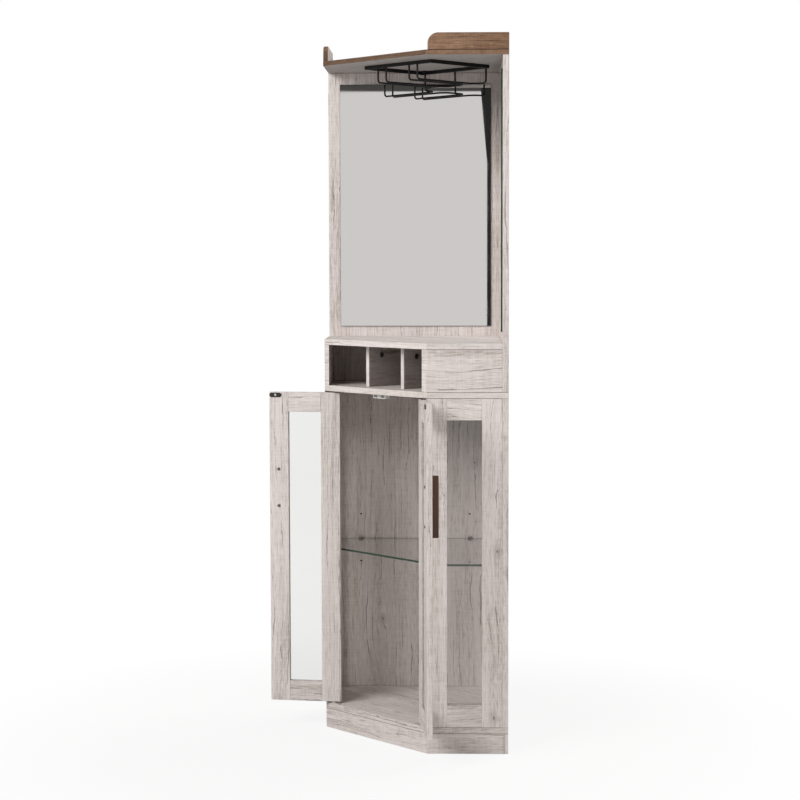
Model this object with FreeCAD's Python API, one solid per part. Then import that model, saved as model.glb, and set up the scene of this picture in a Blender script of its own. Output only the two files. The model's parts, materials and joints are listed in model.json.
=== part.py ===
import FreeCAD, Part
import math
import os
from FreeCAD import Vector

# Corner bar cabinet, in millimetres.
# Its two back panels stand against the two walls of a room corner.
# Its front cuts the corner off at 45 degrees.
# +Z is up and +Y points into the room corner, so the two doors face -Y. X = 0 is the plane of symmetry.
# The origin is on the floor, in the middle of the foot of the front plinth board.
# At rest both doors stand open against their stops.

# Plan of the cabinet
FRONT_WIDTH = 380.4
SIDE_WIDTH = 202.0
BOARD = 15.0
THIN_BOARD = 12.0

# Heights of the storeys, from the floor up
PLINTH_HEIGHT = 51.0
LOWER_HEIGHT = 820.0
BAY_HEIGHT = 105.0
MIRROR_STOREY_HEIGHT = 701.0
TOP_THICKNESS = 12.0
RAIL_HEIGHT = 41.0

# Plinth
PLINTH_THICKNESS = 15.0
BACK_PLINTH_THICKNESS = 10.0

# Side rails on top
RAIL_THICKNESS = 12.0
RAIL_SETBACK = 4.0
RAIL_CORNER_RADIUS = 26.0

# Framed sides and framed doors
SIDE_TOP_RAIL = 54.0
SIDE_FOOT_RAIL = 58.0
SIDE_STILE = 50.5
DOOR_STILE = 50.5
PANE = 4.0
GROOVE_DEPTH = 7.0
PANE_CLEARANCE = 0.4

# Doors
DOOR_THICKNESS = 15.0
DOOR_MIDDLE_GAP = 3.0
DOOR_END_GAP = 2.2
DOOR_TOP_GAP = 3.0
DOOR_FOOT_GAP = 5.0
STOP_GAP = 0.3

# Pivot hinges
PIVOT_INSET = 20.0
PIN_RADIUS = 3.0
PIN_CLEARANCE = 0.08
PIN_LENGTH = 8.5
PIN_END_ROOM = 0.8
LEAF_LENGTH = 44.0
LEAF_WIDTH = 11.0
LEAF_THICKNESS = 2.0
LEAF_CORNER_RADIUS = 3.0
LEAF_OUTER_REACH = 18.0
LEAF_OUTER_SCREW = 11.0
LEAF_INNER_SCREW = 18.0
WASHER_RADIUS = 5.5
WASHER_PLAY = 0.1
FIT_CLEARANCE = 0.05

# Wood screws and machine screws
SMALL_HEAD_RADIUS = 3.0
SMALL_HEAD_HEIGHT = 1.4
SMALL_SHANK_RADIUS = 1.5
SMALL_SCREW_LENGTH = 11.0
PAN_HEAD_RADIUS = 4.0
PAN_HEAD_HEIGHT = 2.4
PAN_SHANK_RADIUS = 2.0
RACK_SCREW_LENGTH = 8.0

# Handles
HANDLE_LENGTH = 150.0
HANDLE_WIDTH = 12.0
HANDLE_DEPTH = 17.0
HANDLE_FROM_EDGE = 24.0
HANDLE_CENTRE_HEIGHT = 634.0
HANDLE_HOLE_SPACING = 96.0
HANDLE_EDGE_RADIUS = 1.5
HANDLE_THREAD_DEPTH = 11.0

# Strike plates and the double magnetic catch
STRIKE_LENGTH = 32.0
STRIKE_HEIGHT = 11.5
STRIKE_THICKNESS = 1.6
STRIKE_FROM_EDGE = 16.5
STRIKE_FROM_TOP = 7.5
CATCH_GAP = 0.5
CATCH_WIDTH = 46.0
CATCH_DEPTH = 16.0
CATCH_HEIGHT = 11.0
CATCH_EDGE_RADIUS = 1.5
MAGNET_WIDTH = 13.0
MAGNET_HEIGHT = 7.0
MAGNET_DEPTH = 8.0
MAGNET_OFFSET = 13.0

# Glass shelf and its clips
SHELF_GLASS = 5.0
SHELF_UNDERSIDE = 468.0
SHELF_EDGE_GAP = 2.0
SHELF_FRONT_SETBACK = 32.0
CLIP_NEAR_CORNER = 94.0
CLIP_NEAR_FRONT = 83.0
CLIP_WIDTH = 12.0
CLIP_HEIGHT = 14.0
CLIP_DEPTH = 12.0
CLIP_LIP = 2.6
CLIP_SLOT_PLAY = 0.2
CLIP_BACK = 1.8
PEG_RADIUS = 2.5
PEG_DEPTH = 8.0
PEG_FROM_CLIP_TOP = 4.5
PEG_HOLE_DEPTH = 9.5
PEG_PITCH = 64.0

# Bottle bays
DIVIDER_CENTRE = 65.0
DIVIDER_SETBACK = 37.0
CAM_RADIUS = 7.5
CAM_THICKNESS = 7.5
CAM_FROM_FRONT = 45.0
CAM_FROM_TOP = 24.0
CAM_CROSS_LENGTH = 8.0
CAM_CROSS_WIDTH = 1.6
CAM_CROSS_DEPTH = 2.0

# Mirrors
MIRROR_THICKNESS = 4.0
MIRROR_FROM_CORNER = 37.0
MIRROR_FROM_FRONT = 31.0
MIRROR_ABOVE_SHELF = 27.0
MIRROR_BELOW_TOP = 31.0

# Stemware rack
RACK_WIDTH = 244.0
RACK_SETBACK = 84.0
RACK_REAR_ROOM = 36.0
RACK_BAR_HEIGHT = 9.0
RACK_BAR_THICKNESS = 4.5
RACK_DROP = 45.0
RACK_WIRE_RADIUS = 2.2
RACK_BEND_RADIUS = 8.0
RACK_TURN_RADIUS = 26.0
RACK_SLOT_CENTRE = 57.5
RACK_SLOT_WIDTH = 30.0
RACK_REAR_LEG = 112.0
RACK_TAB_LENGTH = 22.0
RACK_TAB_WIDTH = 14.0
RACK_TAB_THICKNESS = 2.0

# Dowels
DOWEL_RADIUS = 4.0
DOWEL_LENGTH = 30.0
DOWEL_IN_BOARD = 9.0
DOWEL_END_ROOM = 1.0
DOWEL_FROM_END = 40.0

# One overrun serves every cut
OVERRUN = 1.0

ROOT2 = math.sqrt(2.0)
UP = Vector(0, 0, 1)
INWARD = Vector(0, 1, 0)

# Places worked out from the sizes
HALF_FRONT = FRONT_WIDTH / 2
WALL_LENGTH = SIDE_WIDTH + FRONT_WIDTH / ROOT2
FRONT_SUM = WALL_LENGTH + SIDE_WIDTH
FRONT_Y = -PLINTH_THICKNESS / 2
Z_BASE_LOW = PLINTH_HEIGHT
Z_BASE = Z_BASE_LOW + BOARD
Z_DECK_LOW = Z_BASE + LOWER_HEIGHT
Z_DECK = Z_DECK_LOW + BOARD
Z_SHELF_LOW = Z_DECK + BAY_HEIGHT
Z_SHELF = Z_SHELF_LOW + BOARD
Z_TOP_LOW = Z_SHELF + MIRROR_STOREY_HEIGHT
Z_TOP = Z_TOP_LOW + TOP_THICKNESS
Z_WINDOW_HIGH = Z_DECK_LOW - SIDE_TOP_RAIL
Z_WINDOW_LOW = Z_BASE + SIDE_FOOT_RAIL
DOOR_FREE_X = DOOR_MIDDLE_GAP / 2
DOOR_END_X = HALF_FRONT - DOOR_END_GAP
DOOR_BACK_Y = FRONT_Y + DOOR_THICKNESS
Z_DOOR_LOW = Z_BASE + DOOR_FOOT_GAP
Z_DOOR_HIGH = Z_DECK_LOW - DOOR_TOP_GAP
PIVOT_X = DOOR_END_X - PIVOT_INSET
PIVOT_Y = FRONT_Y + DOOR_THICKNESS / 2
RACK_FRONT_Y = FRONT_Y + RACK_SETBACK
MIRROR_CORNER_Y = FRONT_Y + (FRONT_SUM - 2 * (BOARD + MIRROR_THICKNESS)) / ROOT2
RACK_REAR_Y = MIRROR_CORNER_Y - RACK_WIDTH / 2 - RACK_REAR_ROOM - RACK_BAR_THICKNESS / 2
Z_RACK_BAR = Z_TOP_LOW - RACK_BAR_HEIGHT
Z_RACK_WIRE = Z_TOP_LOW - RACK_DROP


def open_angle():
    """Angle in degrees at which a door's outer face comes to its stop, the front edge of the side."""
    across = HALF_FRONT - PIVOT_X
    along = PIVOT_Y - FRONT_Y
    reach = math.hypot(across, along)
    face = DOOR_THICKNESS / 2 + STOP_GAP
    return 90 + math.degrees(math.acos(face / reach) - math.atan2(along, across))


def spot(from_right_wall, from_left_wall):
    """Plan point X, Y at these distances from the two walls."""
    x = (from_left_wall - from_right_wall) / ROOT2
    y = FRONT_Y + (FRONT_SUM - from_right_wall - from_left_wall) / ROOT2
    return x, y


def prism(points, low, high):
    """Upright solid on a plan outline of X, Y points."""
    corners = [Vector(x, y, low) for x, y in points]
    face = Part.Face(Part.makePolygon(corners + corners[:1]))
    return face.extrude(UP * (high - low))


def board(places, low, high):
    """Upright solid on an outline given by distances from the right wall and from the left wall."""
    return prism([spot(*place) for place in places], low, high)


def block(x0, x1, y0, y1, z0, z1):
    """Box between two X, two Y and two Z values."""
    return Part.makeBox(x1 - x0, y1 - y0, z1 - z0, Vector(x0, y0, z0))


def mirrored(shape):
    """The same piece for the other half of the cabinet."""
    return shape.mirror(Vector(0, 0, 0), Vector(1, 0, 0))


def opened(shape):
    """A right door piece turned from closed to its place at rest."""
    turned = shape.copy()
    turned.rotate(Vector(PIVOT_X, PIVOT_Y, 0), UP, open_angle())
    return turned


def save(name, shapes):
    """Writes one node. Several solids of one node are kept apart."""
    group = shapes if isinstance(shapes, list) else [shapes]
    solids = [solid for shape in group for solid in shape.Solids]
    whole = solids[0] if len(solids) == 1 else Part.makeCompound(solids)
    whole.exportStep(f"parts/{name}.step")


def save_pair(name, right):
    """Writes a piece of the right half and its twin of the left half."""
    save(f"right_{name}", right)
    save(f"left_{name}", [mirrored(shape) for shape in (right if isinstance(right, list) else [right])])


def save_door(name, right):
    """Writes a door piece, drawn closed on the right, for both doors at rest."""
    group = right if isinstance(right, list) else [right]
    save_pair(f"door_{name}", [opened(shape) for shape in group])


def outline(back, side):
    """Pentagon inside the walls by back and inside the sides by side, flush with the front."""
    end = WALL_LENGTH - side
    front = FRONT_SUM - end
    return [(back, back), (end, back), (end, front), (front, end), (back, end)]


def edges_along(shape, direction):
    """Straight edges of a shape that run along a direction."""
    straight = [edge for edge in shape.Edges if isinstance(edge.Curve, Part.Line)]
    return [edge for edge in straight if edge.Curve.Direction.cross(direction).Length < FIT_CLEARANCE]


def rod(start, direction, radius, length):
    """Round bar from a start point along a direction."""
    return Part.makeCylinder(radius, length, start, direction)


def countersunk(start, direction, grow=0.0):
    """Small wood screw whose head is flush at start and whose shank runs along direction."""
    wide, narrow = SMALL_HEAD_RADIUS + grow, SMALL_SHANK_RADIUS + grow
    head = Part.makeCone(wide, narrow, SMALL_HEAD_HEIGHT, start, direction)
    shank = rod(start, direction, narrow, SMALL_SCREW_LENGTH)
    return head.fuse(shank).removeSplitter()


def pan_screw(seat, direction, length, grow=0.0):
    """Screw with a pan head that stands on the seat, and its shank along direction."""
    shank = rod(seat, direction, PAN_SHANK_RADIUS + grow, length)
    if grow:
        return shank
    head = rod(seat - direction * PAN_HEAD_HEIGHT, direction, PAN_HEAD_RADIUS, PAN_HEAD_HEIGHT)
    round_edges = [edge for edge in head.Edges if isinstance(edge.Curve, Part.Circle)]
    rim = [edge for edge in round_edges if (seat - edge.CenterOfMass).dot(direction) > PAN_HEAD_HEIGHT / 2]
    head = head.makeFillet(PAN_HEAD_HEIGHT / 2, rim)
    return head.fuse(shank).removeSplitter()


# Dowels between the storeys

def dowel_places():
    """X, Y, joint height and side of the flat board (1 above the joint, -1 below) of the right half's dowels."""
    panel_line = BOARD / 2
    side_line = WALL_LENGTH - BOARD / 2
    bay_line = WALL_LENGTH - THIN_BOARD / 2
    near, middle, far = DOWEL_FROM_END, WALL_LENGTH / 2, WALL_LENGTH - DOWEL_FROM_END
    rear_stile = BOARD + SIDE_STILE / 2
    front_stile = SIDE_WIDTH - SIDE_STILE / 2
    lower = [spot(panel_line, far), spot(panel_line, middle), spot(panel_line, near)]
    lower += [spot(rear_stile, side_line), spot(front_stile, side_line)]
    bays = [spot(rear_stile, bay_line), spot(front_stile, bay_line)]
    rear_end = divider_back(DIVIDER_CENTRE) - DOWEL_FROM_END
    bays += [(DIVIDER_CENTRE, FRONT_Y + DIVIDER_SETBACK + DOWEL_FROM_END), (DIVIDER_CENTRE, rear_end)]
    upper = [spot(panel_line, near), spot(panel_line, middle), spot(panel_line, far)]
    places = [(x, y, Z_BASE, -1) for x, y in lower]
    places += [(x, y, Z_DECK_LOW, 1) for x, y in lower]
    places += [(x, y, Z_DECK, -1) for x, y in bays + upper]
    places += [(x, y, Z_SHELF_LOW, 1) for x, y in bays[:2] + bays[3:]]
    places += [(x, y, Z_TOP_LOW, 1) for x, y in upper]
    return places


def dowel(x, y, joint, side, grow=0.0, end_room=0.0):
    """One dowel across a joint. Its short end is in the flat board and its long end in the upright one."""
    short_end = joint + side * (DOWEL_IN_BOARD - grow + end_room)
    long_end = joint - side * (DOWEL_LENGTH - DOWEL_IN_BOARD + end_room)
    low, high = min(short_end, long_end), max(short_end, long_end)
    return rod(Vector(x, y, low), UP, DOWEL_RADIUS + grow, high - low)


def dowels():
    """All dowels of the cabinet."""
    right = [dowel(*place) for place in dowel_places()]
    return right + [mirrored(piece) for piece in right]


def drilled(shape):
    """A board with the dowel holes of both halves."""
    holes = []
    reach = shape.BoundBox
    for x, y, joint, side in dowel_places():
        for place_x in (x, -x):
            hole = dowel(place_x, y, joint, side, FIT_CLEARANCE, DOWEL_END_ROOM)
            if reach.intersect(hole.BoundBox):
                holes.append(hole)
    return shape.cut(holes) if holes else shape


# Plinth

def plinth_side():
    """Plinth board under the right side, mitred to the front board."""
    inner = SIDE_WIDTH + PLINTH_THICKNESS - PLINTH_THICKNESS * ROOT2
    line = WALL_LENGTH - PLINTH_THICKNESS
    back = BACK_PLINTH_THICKNESS
    places = [(back, line), (back, WALL_LENGTH), (SIDE_WIDTH, WALL_LENGTH), (inner, line)]
    return board(places, 0, PLINTH_HEIGHT)


def plinth_front():
    """Plinth board across the front, mitred at both ends."""
    inner = SIDE_WIDTH + PLINTH_THICKNESS - PLINTH_THICKNESS * ROOT2
    line = WALL_LENGTH - PLINTH_THICKNESS
    places = [(SIDE_WIDTH, WALL_LENGTH), (WALL_LENGTH, SIDE_WIDTH), (line, inner), (inner, line)]
    return board(places, 0, PLINTH_HEIGHT)


def plinth_back():
    """Plinth board along the right wall, mitred in the room corner."""
    back = BACK_PLINTH_THICKNESS
    return board([(0, 0), (back, back), (back, WALL_LENGTH), (0, WALL_LENGTH)], 0, PLINTH_HEIGHT)


# Flat boards

def base_board():
    """Floor of the lower cupboard, with bores for the lower pivot pins."""
    plate = board(outline(0, 0), Z_BASE_LOW, Z_BASE)
    return drilled(plate).cut(pin_bores() + hinge_screw_holes())


def deck_board():
    """Top of the lower cupboard and floor of the bottle bays."""
    plate = board(outline(0, 0), Z_DECK_LOW, Z_DECK)
    catch_screw_hole = countersunk(Vector(0, catch_middle_y(), Z_DECK_LOW - CATCH_HEIGHT), UP, FIT_CLEARANCE)
    return drilled(plate).cut(pin_bores() + hinge_screw_holes() + [catch_screw_hole])


def middle_shelf():
    """Shelf over the bottle bays, fitted between the back panels."""
    return drilled(board(outline(BOARD, 0), Z_SHELF_LOW, Z_SHELF))


def top_board():
    """Board that closes the cabinet above the mirrors."""
    plate = board(outline(0, 0), Z_TOP_LOW, Z_TOP)
    return drilled(plate).cut(rack_screws(FIT_CLEARANCE))


# Back panels

def back_panel(low, high):
    """Right back panel between two heights, mitred in the room corner."""
    return drilled(board([(0, 0), (BOARD, BOARD), (BOARD, WALL_LENGTH), (0, WALL_LENGTH)], low, high))


def lower_back_panel():
    """Right back panel of the cupboard, with the holes for the shelf pegs."""
    return back_panel(Z_BASE, Z_DECK_LOW).cut(peg_holes())


def mirror_pane():
    """Mirror glued on the right back panel."""
    start, end = MIRROR_FROM_CORNER, WALL_LENGTH - MIRROR_FROM_FRONT
    face = BOARD + MIRROR_THICKNESS
    places = [(BOARD, start), (face, start), (face, end), (BOARD, end)]
    return board(places, Z_SHELF + MIRROR_ABOVE_SHELF, Z_TOP_LOW - MIRROR_BELOW_TOP)


# Framed glass sides

def side_strip(start, end, inset, thickness, low, high):
    """Upright strip of the right side, at an inset behind its outer face."""
    outer = WALL_LENGTH - inset
    inner = outer - thickness
    return board([(start, inner), (start, outer), (end, outer), (end, inner)], low, high)


def side_pane(play):
    """Pane of the right side, or with play its groove."""
    first = BOARD + SIDE_STILE - GROOVE_DEPTH + PANE_CLEARANCE - play
    last = SIDE_WIDTH - SIDE_STILE + GROOVE_DEPTH - PANE_CLEARANCE + play
    inset = (BOARD - PANE - play) / 2
    low = Z_WINDOW_LOW - GROOVE_DEPTH + PANE_CLEARANCE - play
    high = Z_WINDOW_HIGH + GROOVE_DEPTH - PANE_CLEARANCE + play
    return side_strip(first, last, inset, PANE + play, low, high)


def side_rear_stile():
    """Stile beside the back panel."""
    stile = side_strip(BOARD, BOARD + SIDE_STILE, 0, BOARD, Z_BASE, Z_DECK_LOW)
    return drilled(stile).cut(side_pane(PANE_CLEARANCE))


def side_front_stile():
    """Stile at the front, bevelled so that its end faces the end of the door."""
    start = SIDE_WIDTH - SIDE_STILE
    line = WALL_LENGTH - BOARD
    places = [(start, line), (start, WALL_LENGTH), (SIDE_WIDTH, WALL_LENGTH), (SIDE_WIDTH - BOARD, line)]
    return drilled(board(places, Z_BASE, Z_DECK_LOW)).cut(side_pane(PANE_CLEARANCE))


def side_rail(low, high):
    """Rail between the stiles of the right side."""
    rail = side_strip(BOARD + SIDE_STILE, SIDE_WIDTH - SIDE_STILE, 0, BOARD, low, high)
    return rail.cut(side_pane(PANE_CLEARANCE))


# Doors, drawn closed on the right

def door_block(x0, x1, low, high):
    """Full-thickness piece of the right door."""
    return block(x0, x1, FRONT_Y, DOOR_BACK_Y, low, high)


def door_pane(play):
    """Pane of the right door, or with play its groove."""
    reach = GROOVE_DEPTH - PANE_CLEARANCE + play
    middle = FRONT_Y + DOOR_THICKNESS / 2
    half = (PANE + play) / 2
    return block(DOOR_FREE_X + DOOR_STILE - reach, DOOR_END_X - DOOR_STILE + reach,
                 middle - half, middle + half, Z_WINDOW_LOW - reach, Z_WINDOW_HIGH + reach)


def door_meeting_stile():
    """Stile at the middle of the front, with the holes of the handle and the strike plate."""
    stile = door_block(DOOR_FREE_X, DOOR_FREE_X + DOOR_STILE, Z_DOOR_LOW, Z_DOOR_HIGH)
    return stile.cut([door_pane(PANE_CLEARANCE), strike_screw(FIT_CLEARANCE)] + handle_screws(FIT_CLEARANCE))


def door_hinge_stile():
    """Stile that carries the two hinge leaves in shallow mortises."""
    stile = door_block(DOOR_END_X - DOOR_STILE, DOOR_END_X, Z_DOOR_LOW, Z_DOOR_HIGH)
    mortises = [leaf_plate(z, FIT_CLEARANCE) for z in (Z_DOOR_LOW, Z_DOOR_HIGH - LEAF_THICKNESS)]
    screws = [countersunk(*place, FIT_CLEARANCE) for place in door_leaf_screw_places()]
    return stile.cut([door_pane(PANE_CLEARANCE)] + mortises + screws)


def door_rail(low, high):
    """Rail between the stiles of the right door."""
    rail = door_block(DOOR_FREE_X + DOOR_STILE, DOOR_END_X - DOOR_STILE, low, high)
    return rail.cut(door_pane(PANE_CLEARANCE))


# Pivot hinges

def leaf_plate(low, grow=0.0):
    """Flat hinge leaf with rounded corners, in line with the closed right door."""
    x0, x1 = PIVOT_X + LEAF_OUTER_REACH - LEAF_LENGTH - grow, PIVOT_X + LEAF_OUTER_REACH + grow
    half = LEAF_WIDTH / 2 + grow
    plate = block(x0, x1, PIVOT_Y - half, PIVOT_Y + half, low - grow, low + LEAF_THICKNESS + grow)
    return plate.makeFillet(LEAF_CORNER_RADIUS, edges_along(plate, UP))


def leaf_screw_xs():
    """X of the two screws of each leaf."""
    return (PIVOT_X + LEAF_OUTER_SCREW, PIVOT_X - LEAF_INNER_SCREW)


def door_leaf_screw_places():
    """Start and direction of the screws in the door's leaves."""
    places = [(Vector(x, PIVOT_Y, Z_DOOR_HIGH), -UP) for x in leaf_screw_xs()]
    return places + [(Vector(x, PIVOT_Y, Z_DOOR_LOW), UP) for x in leaf_screw_xs()]


def cabinet_plate_screw_places():
    """Start and direction of the screws in the cabinet's hinge plates."""
    places = [(Vector(x, PIVOT_Y, Z_DECK_LOW - LEAF_THICKNESS), UP) for x in leaf_screw_xs()]
    return places + [(Vector(x, PIVOT_Y, Z_BASE + LEAF_THICKNESS), -UP) for x in leaf_screw_xs()]


def door_leaves():
    """Leaf with its pin at the top and at the foot of the right door."""
    pin_start = Vector(PIVOT_X, PIVOT_Y, Z_DOOR_HIGH - LEAF_THICKNESS)
    upper = leaf_plate(Z_DOOR_HIGH - LEAF_THICKNESS).fuse(rod(pin_start, UP, PIN_RADIUS, PIN_LENGTH))
    foot_start = Vector(PIVOT_X, PIVOT_Y, Z_DOOR_LOW + LEAF_THICKNESS)
    foot_length = PIN_LENGTH + DOOR_FOOT_GAP - DOOR_TOP_GAP
    lower = leaf_plate(Z_DOOR_LOW).fuse(rod(foot_start, -UP, PIN_RADIUS, foot_length))
    screws = [countersunk(*place, FIT_CLEARANCE) for place in door_leaf_screw_places()]
    return [leaf.removeSplitter().cut(screws) for leaf in (upper, lower)]


def cabinet_plates():
    """Hinge plates under the deck and on the base board, for the right door."""
    pin = rod(Vector(PIVOT_X, PIVOT_Y, 0), UP, PIN_RADIUS + PIN_CLEARANCE, Z_DECK)
    screws = [countersunk(*place, FIT_CLEARANCE) for place in cabinet_plate_screw_places()]
    return [leaf_plate(z).cut([pin] + screws) for z in (Z_DECK_LOW - LEAF_THICKNESS, Z_BASE)]


def pivot_washer():
    """Washer that carries the right door on its lower hinge plate."""
    height = DOOR_FOOT_GAP - LEAF_THICKNESS - WASHER_PLAY
    seat = Vector(PIVOT_X, PIVOT_Y, Z_BASE + LEAF_THICKNESS)
    ring = rod(seat, UP, WASHER_RADIUS, height)
    return ring.cut(rod(seat - UP * OVERRUN, UP, PIN_RADIUS + PIN_CLEARANCE, height + 2 * OVERRUN))


def pin_bores():
    """Bores of all four pivot pins in the deck and the base board."""
    depth = PIN_LENGTH - LEAF_THICKNESS - DOOR_TOP_GAP + PIN_END_ROOM
    radius = PIN_RADIUS + PIN_CLEARANCE
    upper = rod(Vector(PIVOT_X, PIVOT_Y, Z_DECK_LOW - OVERRUN), UP, radius, depth + OVERRUN)
    lower = rod(Vector(PIVOT_X, PIVOT_Y, Z_BASE + OVERRUN), -UP, radius, depth + OVERRUN)
    return [upper, lower, mirrored(upper), mirrored(lower)]


def hinge_screw_holes():
    """Holes of the hinge plate screws in the deck and the base board."""
    right = [countersunk(*place, FIT_CLEARANCE) for place in cabinet_plate_screw_places()]
    return right + [mirrored(hole) for hole in right]


# Handles, strike plates and the catch

def handle_screw_seats():
    """Where the two screw heads rest on the back of the right door."""
    x = DOOR_FREE_X + HANDLE_FROM_EDGE
    half = HANDLE_HOLE_SPACING / 2
    return [Vector(x, DOOR_BACK_Y, HANDLE_CENTRE_HEIGHT + side * half) for side in (-1, 1)]


def handle_screws(grow=0.0):
    """Screws through the right door into its handle."""
    length = DOOR_THICKNESS + HANDLE_THREAD_DEPTH + grow
    return [pan_screw(seat, -INWARD, length, grow) for seat in handle_screw_seats()]


def handle():
    """Bar handle on the outer face of the right door."""
    x = DOOR_FREE_X + HANDLE_FROM_EDGE
    half, reach = HANDLE_WIDTH / 2, FRONT_Y - HANDLE_DEPTH
    low = HANDLE_CENTRE_HEIGHT - HANDLE_LENGTH / 2
    bar = block(x - half, x + half, reach, FRONT_Y, low, low + HANDLE_LENGTH)
    outer = [edge for edge in bar.Edges if edge.BoundBox.YMin < FRONT_Y - HANDLE_DEPTH / 2]
    return bar.makeFillet(HANDLE_EDGE_RADIUS, outer).cut(handle_screws(FIT_CLEARANCE))


def strike_centre():
    """Middle of the right strike plate's outer face."""
    x = DOOR_FREE_X + STRIKE_FROM_EDGE
    return Vector(x, DOOR_BACK_Y + STRIKE_THICKNESS, Z_DOOR_HIGH - STRIKE_FROM_TOP)


def strike_screw(grow=0.0):
    """Screw of the right strike plate."""
    return countersunk(strike_centre(), -INWARD, grow)


def strike_plate():
    """Steel plate with round ends that the catch holds."""
    centre = strike_centre()
    half = STRIKE_LENGTH / 2
    plate = block(centre.x - half, centre.x + half, DOOR_BACK_Y, centre.y,
                  centre.z - STRIKE_HEIGHT / 2, centre.z + STRIKE_HEIGHT / 2)
    rounded = plate.makeFillet(STRIKE_HEIGHT / 2 - FIT_CLEARANCE, edges_along(plate, INWARD))
    return rounded.cut(strike_screw(FIT_CLEARANCE))


def catch_front_y():
    """Front face of the catch, just behind the closed strike plates."""
    return DOOR_BACK_Y + STRIKE_THICKNESS + CATCH_GAP


def catch_middle_y():
    """Middle of the catch."""
    return catch_front_y() + CATCH_DEPTH / 2


def catch_magnets():
    """The two magnets, flush in the front of the catch."""
    low = Z_DECK_LOW - (CATCH_HEIGHT + MAGNET_HEIGHT) / 2
    front = catch_front_y()
    return [block(side * MAGNET_OFFSET - MAGNET_WIDTH / 2, side * MAGNET_OFFSET + MAGNET_WIDTH / 2,
                  front, front + MAGNET_DEPTH, low, low + MAGNET_HEIGHT) for side in (-1, 1)]


def catch_screw(grow=0.0):
    """Screw that holds the catch under the deck."""
    return countersunk(Vector(0, catch_middle_y(), Z_DECK_LOW - CATCH_HEIGHT), UP, grow)


def catch_housing():
    """Body of the double magnetic catch."""
    half, front = CATCH_WIDTH / 2, catch_front_y()
    body = block(-half, half, front, front + CATCH_DEPTH, Z_DECK_LOW - CATCH_HEIGHT, Z_DECK_LOW)
    body = body.makeFillet(CATCH_EDGE_RADIUS, edges_along(body, UP))
    return body.cut(catch_magnets() + [catch_screw(FIT_CLEARANCE)])


# Glass shelf

def glass_shelf():
    """Loose pane on four clips, clear of the doors' hinge ends."""
    back = BOARD + SHELF_EDGE_GAP
    end = WALL_LENGTH - BOARD - SHELF_EDGE_GAP
    front = FRONT_SUM - SHELF_FRONT_SETBACK * ROOT2 - end
    places = [(back, back), (end, back), (end, front), (front, end), (back, end)]
    return board(places, SHELF_UNDERSIDE, SHELF_UNDERSIDE + SHELF_GLASS)


def clip_places():
    """Distances from the room corner of the two clips on the right back panel."""
    return (CLIP_NEAR_CORNER, WALL_LENGTH - CLIP_NEAR_FRONT)


def peg_height():
    """Height of the pegs that carry the clips."""
    return SHELF_UNDERSIDE - CLIP_LIP + CLIP_HEIGHT - PEG_FROM_CLIP_TOP


def shelf_clip(along):
    """Clip with its peg in the right back panel, and a slot round the edge of the glass."""
    low = SHELF_UNDERSIDE - CLIP_LIP
    start, end = along - CLIP_WIDTH / 2, along + CLIP_WIDTH / 2
    tip = BOARD + CLIP_DEPTH
    body = board([(BOARD, start), (tip, start), (tip, end), (BOARD, end)], low, low + CLIP_HEIGHT)
    back = BOARD + CLIP_BACK
    beyond, left, right = tip + OVERRUN, start - OVERRUN, end + OVERRUN
    slot_places = [(back, left), (beyond, left), (beyond, right), (back, right)]
    slot = board(slot_places, SHELF_UNDERSIDE, SHELF_UNDERSIDE + SHELF_GLASS + CLIP_SLOT_PLAY)
    return body.cut(slot).fuse(peg(along, peg_height(), PEG_RADIUS, PEG_DEPTH)).removeSplitter()


def peg(along, height, radius, depth):
    """Round peg that reaches from the face of the right back panel into it."""
    x, y = spot(BOARD, along)
    return rod(Vector(x, y, height), Vector(1, 1, 0), radius, depth)


def peg_holes():
    """Peg holes of the clips, and a spare one above and below each of them."""
    heights = [peg_height() + row * PEG_PITCH for row in (-1, 0, 1)]
    return [peg(along, z, PEG_RADIUS + FIT_CLEARANCE, PEG_HOLE_DEPTH) for along in clip_places() for z in heights]


# Bottle bays

def bay_side():
    """Right end of the bottle bays, its front edge cut flush with the front."""
    line = WALL_LENGTH - THIN_BOARD
    places = [(BOARD, line), (BOARD, WALL_LENGTH), (SIDE_WIDTH, WALL_LENGTH), (SIDE_WIDTH + THIN_BOARD, line)]
    return drilled(board(places, Z_DECK, Z_SHELF_LOW))


def divider_back(x):
    """Y at which a line square to the front meets the back panel."""
    return FRONT_Y + (FRONT_SUM - 2 * BOARD) / ROOT2 - abs(x)


def divider(centre):
    """Upright between two bays, from behind the front edge to the back panel, with its cam pocket."""
    x0, x1 = centre - THIN_BOARD / 2, centre + THIN_BOARD / 2
    front = FRONT_Y + DIVIDER_SETBACK
    places = [(x0, front), (x1, front), (x1, divider_back(x1)), (x0, divider_back(x0))]
    pocket = cam_blank(centre, FIT_CLEARANCE)
    return drilled(prism(places, Z_DECK, Z_SHELF_LOW)).cut(pocket)


def cam_blank(centre, grow=0.0):
    """Round cam lock in the right face of a divider, near its front and its top."""
    face = centre + THIN_BOARD / 2
    y = FRONT_Y + DIVIDER_SETBACK + CAM_FROM_FRONT
    start = Vector(face - CAM_THICKNESS - grow, y, Z_SHELF_LOW - CAM_FROM_TOP)
    return rod(start, Vector(1, 0, 0), CAM_RADIUS + grow, CAM_THICKNESS + grow)


def cam_lock(centre):
    """Cam lock with the cross for the screwdriver."""
    cam = cam_blank(centre)
    face = centre + THIN_BOARD / 2
    middle = Vector(face, FRONT_Y + DIVIDER_SETBACK + CAM_FROM_FRONT, Z_SHELF_LOW - CAM_FROM_TOP)
    long, wide = CAM_CROSS_LENGTH / 2, CAM_CROSS_WIDTH / 2
    arms = [block(face - CAM_CROSS_DEPTH, face + OVERRUN, middle.y - a, middle.y + a, middle.z - b, middle.z + b)
            for a, b in ((long, wide), (wide, long))]
    return cam.cut(arms)


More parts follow.
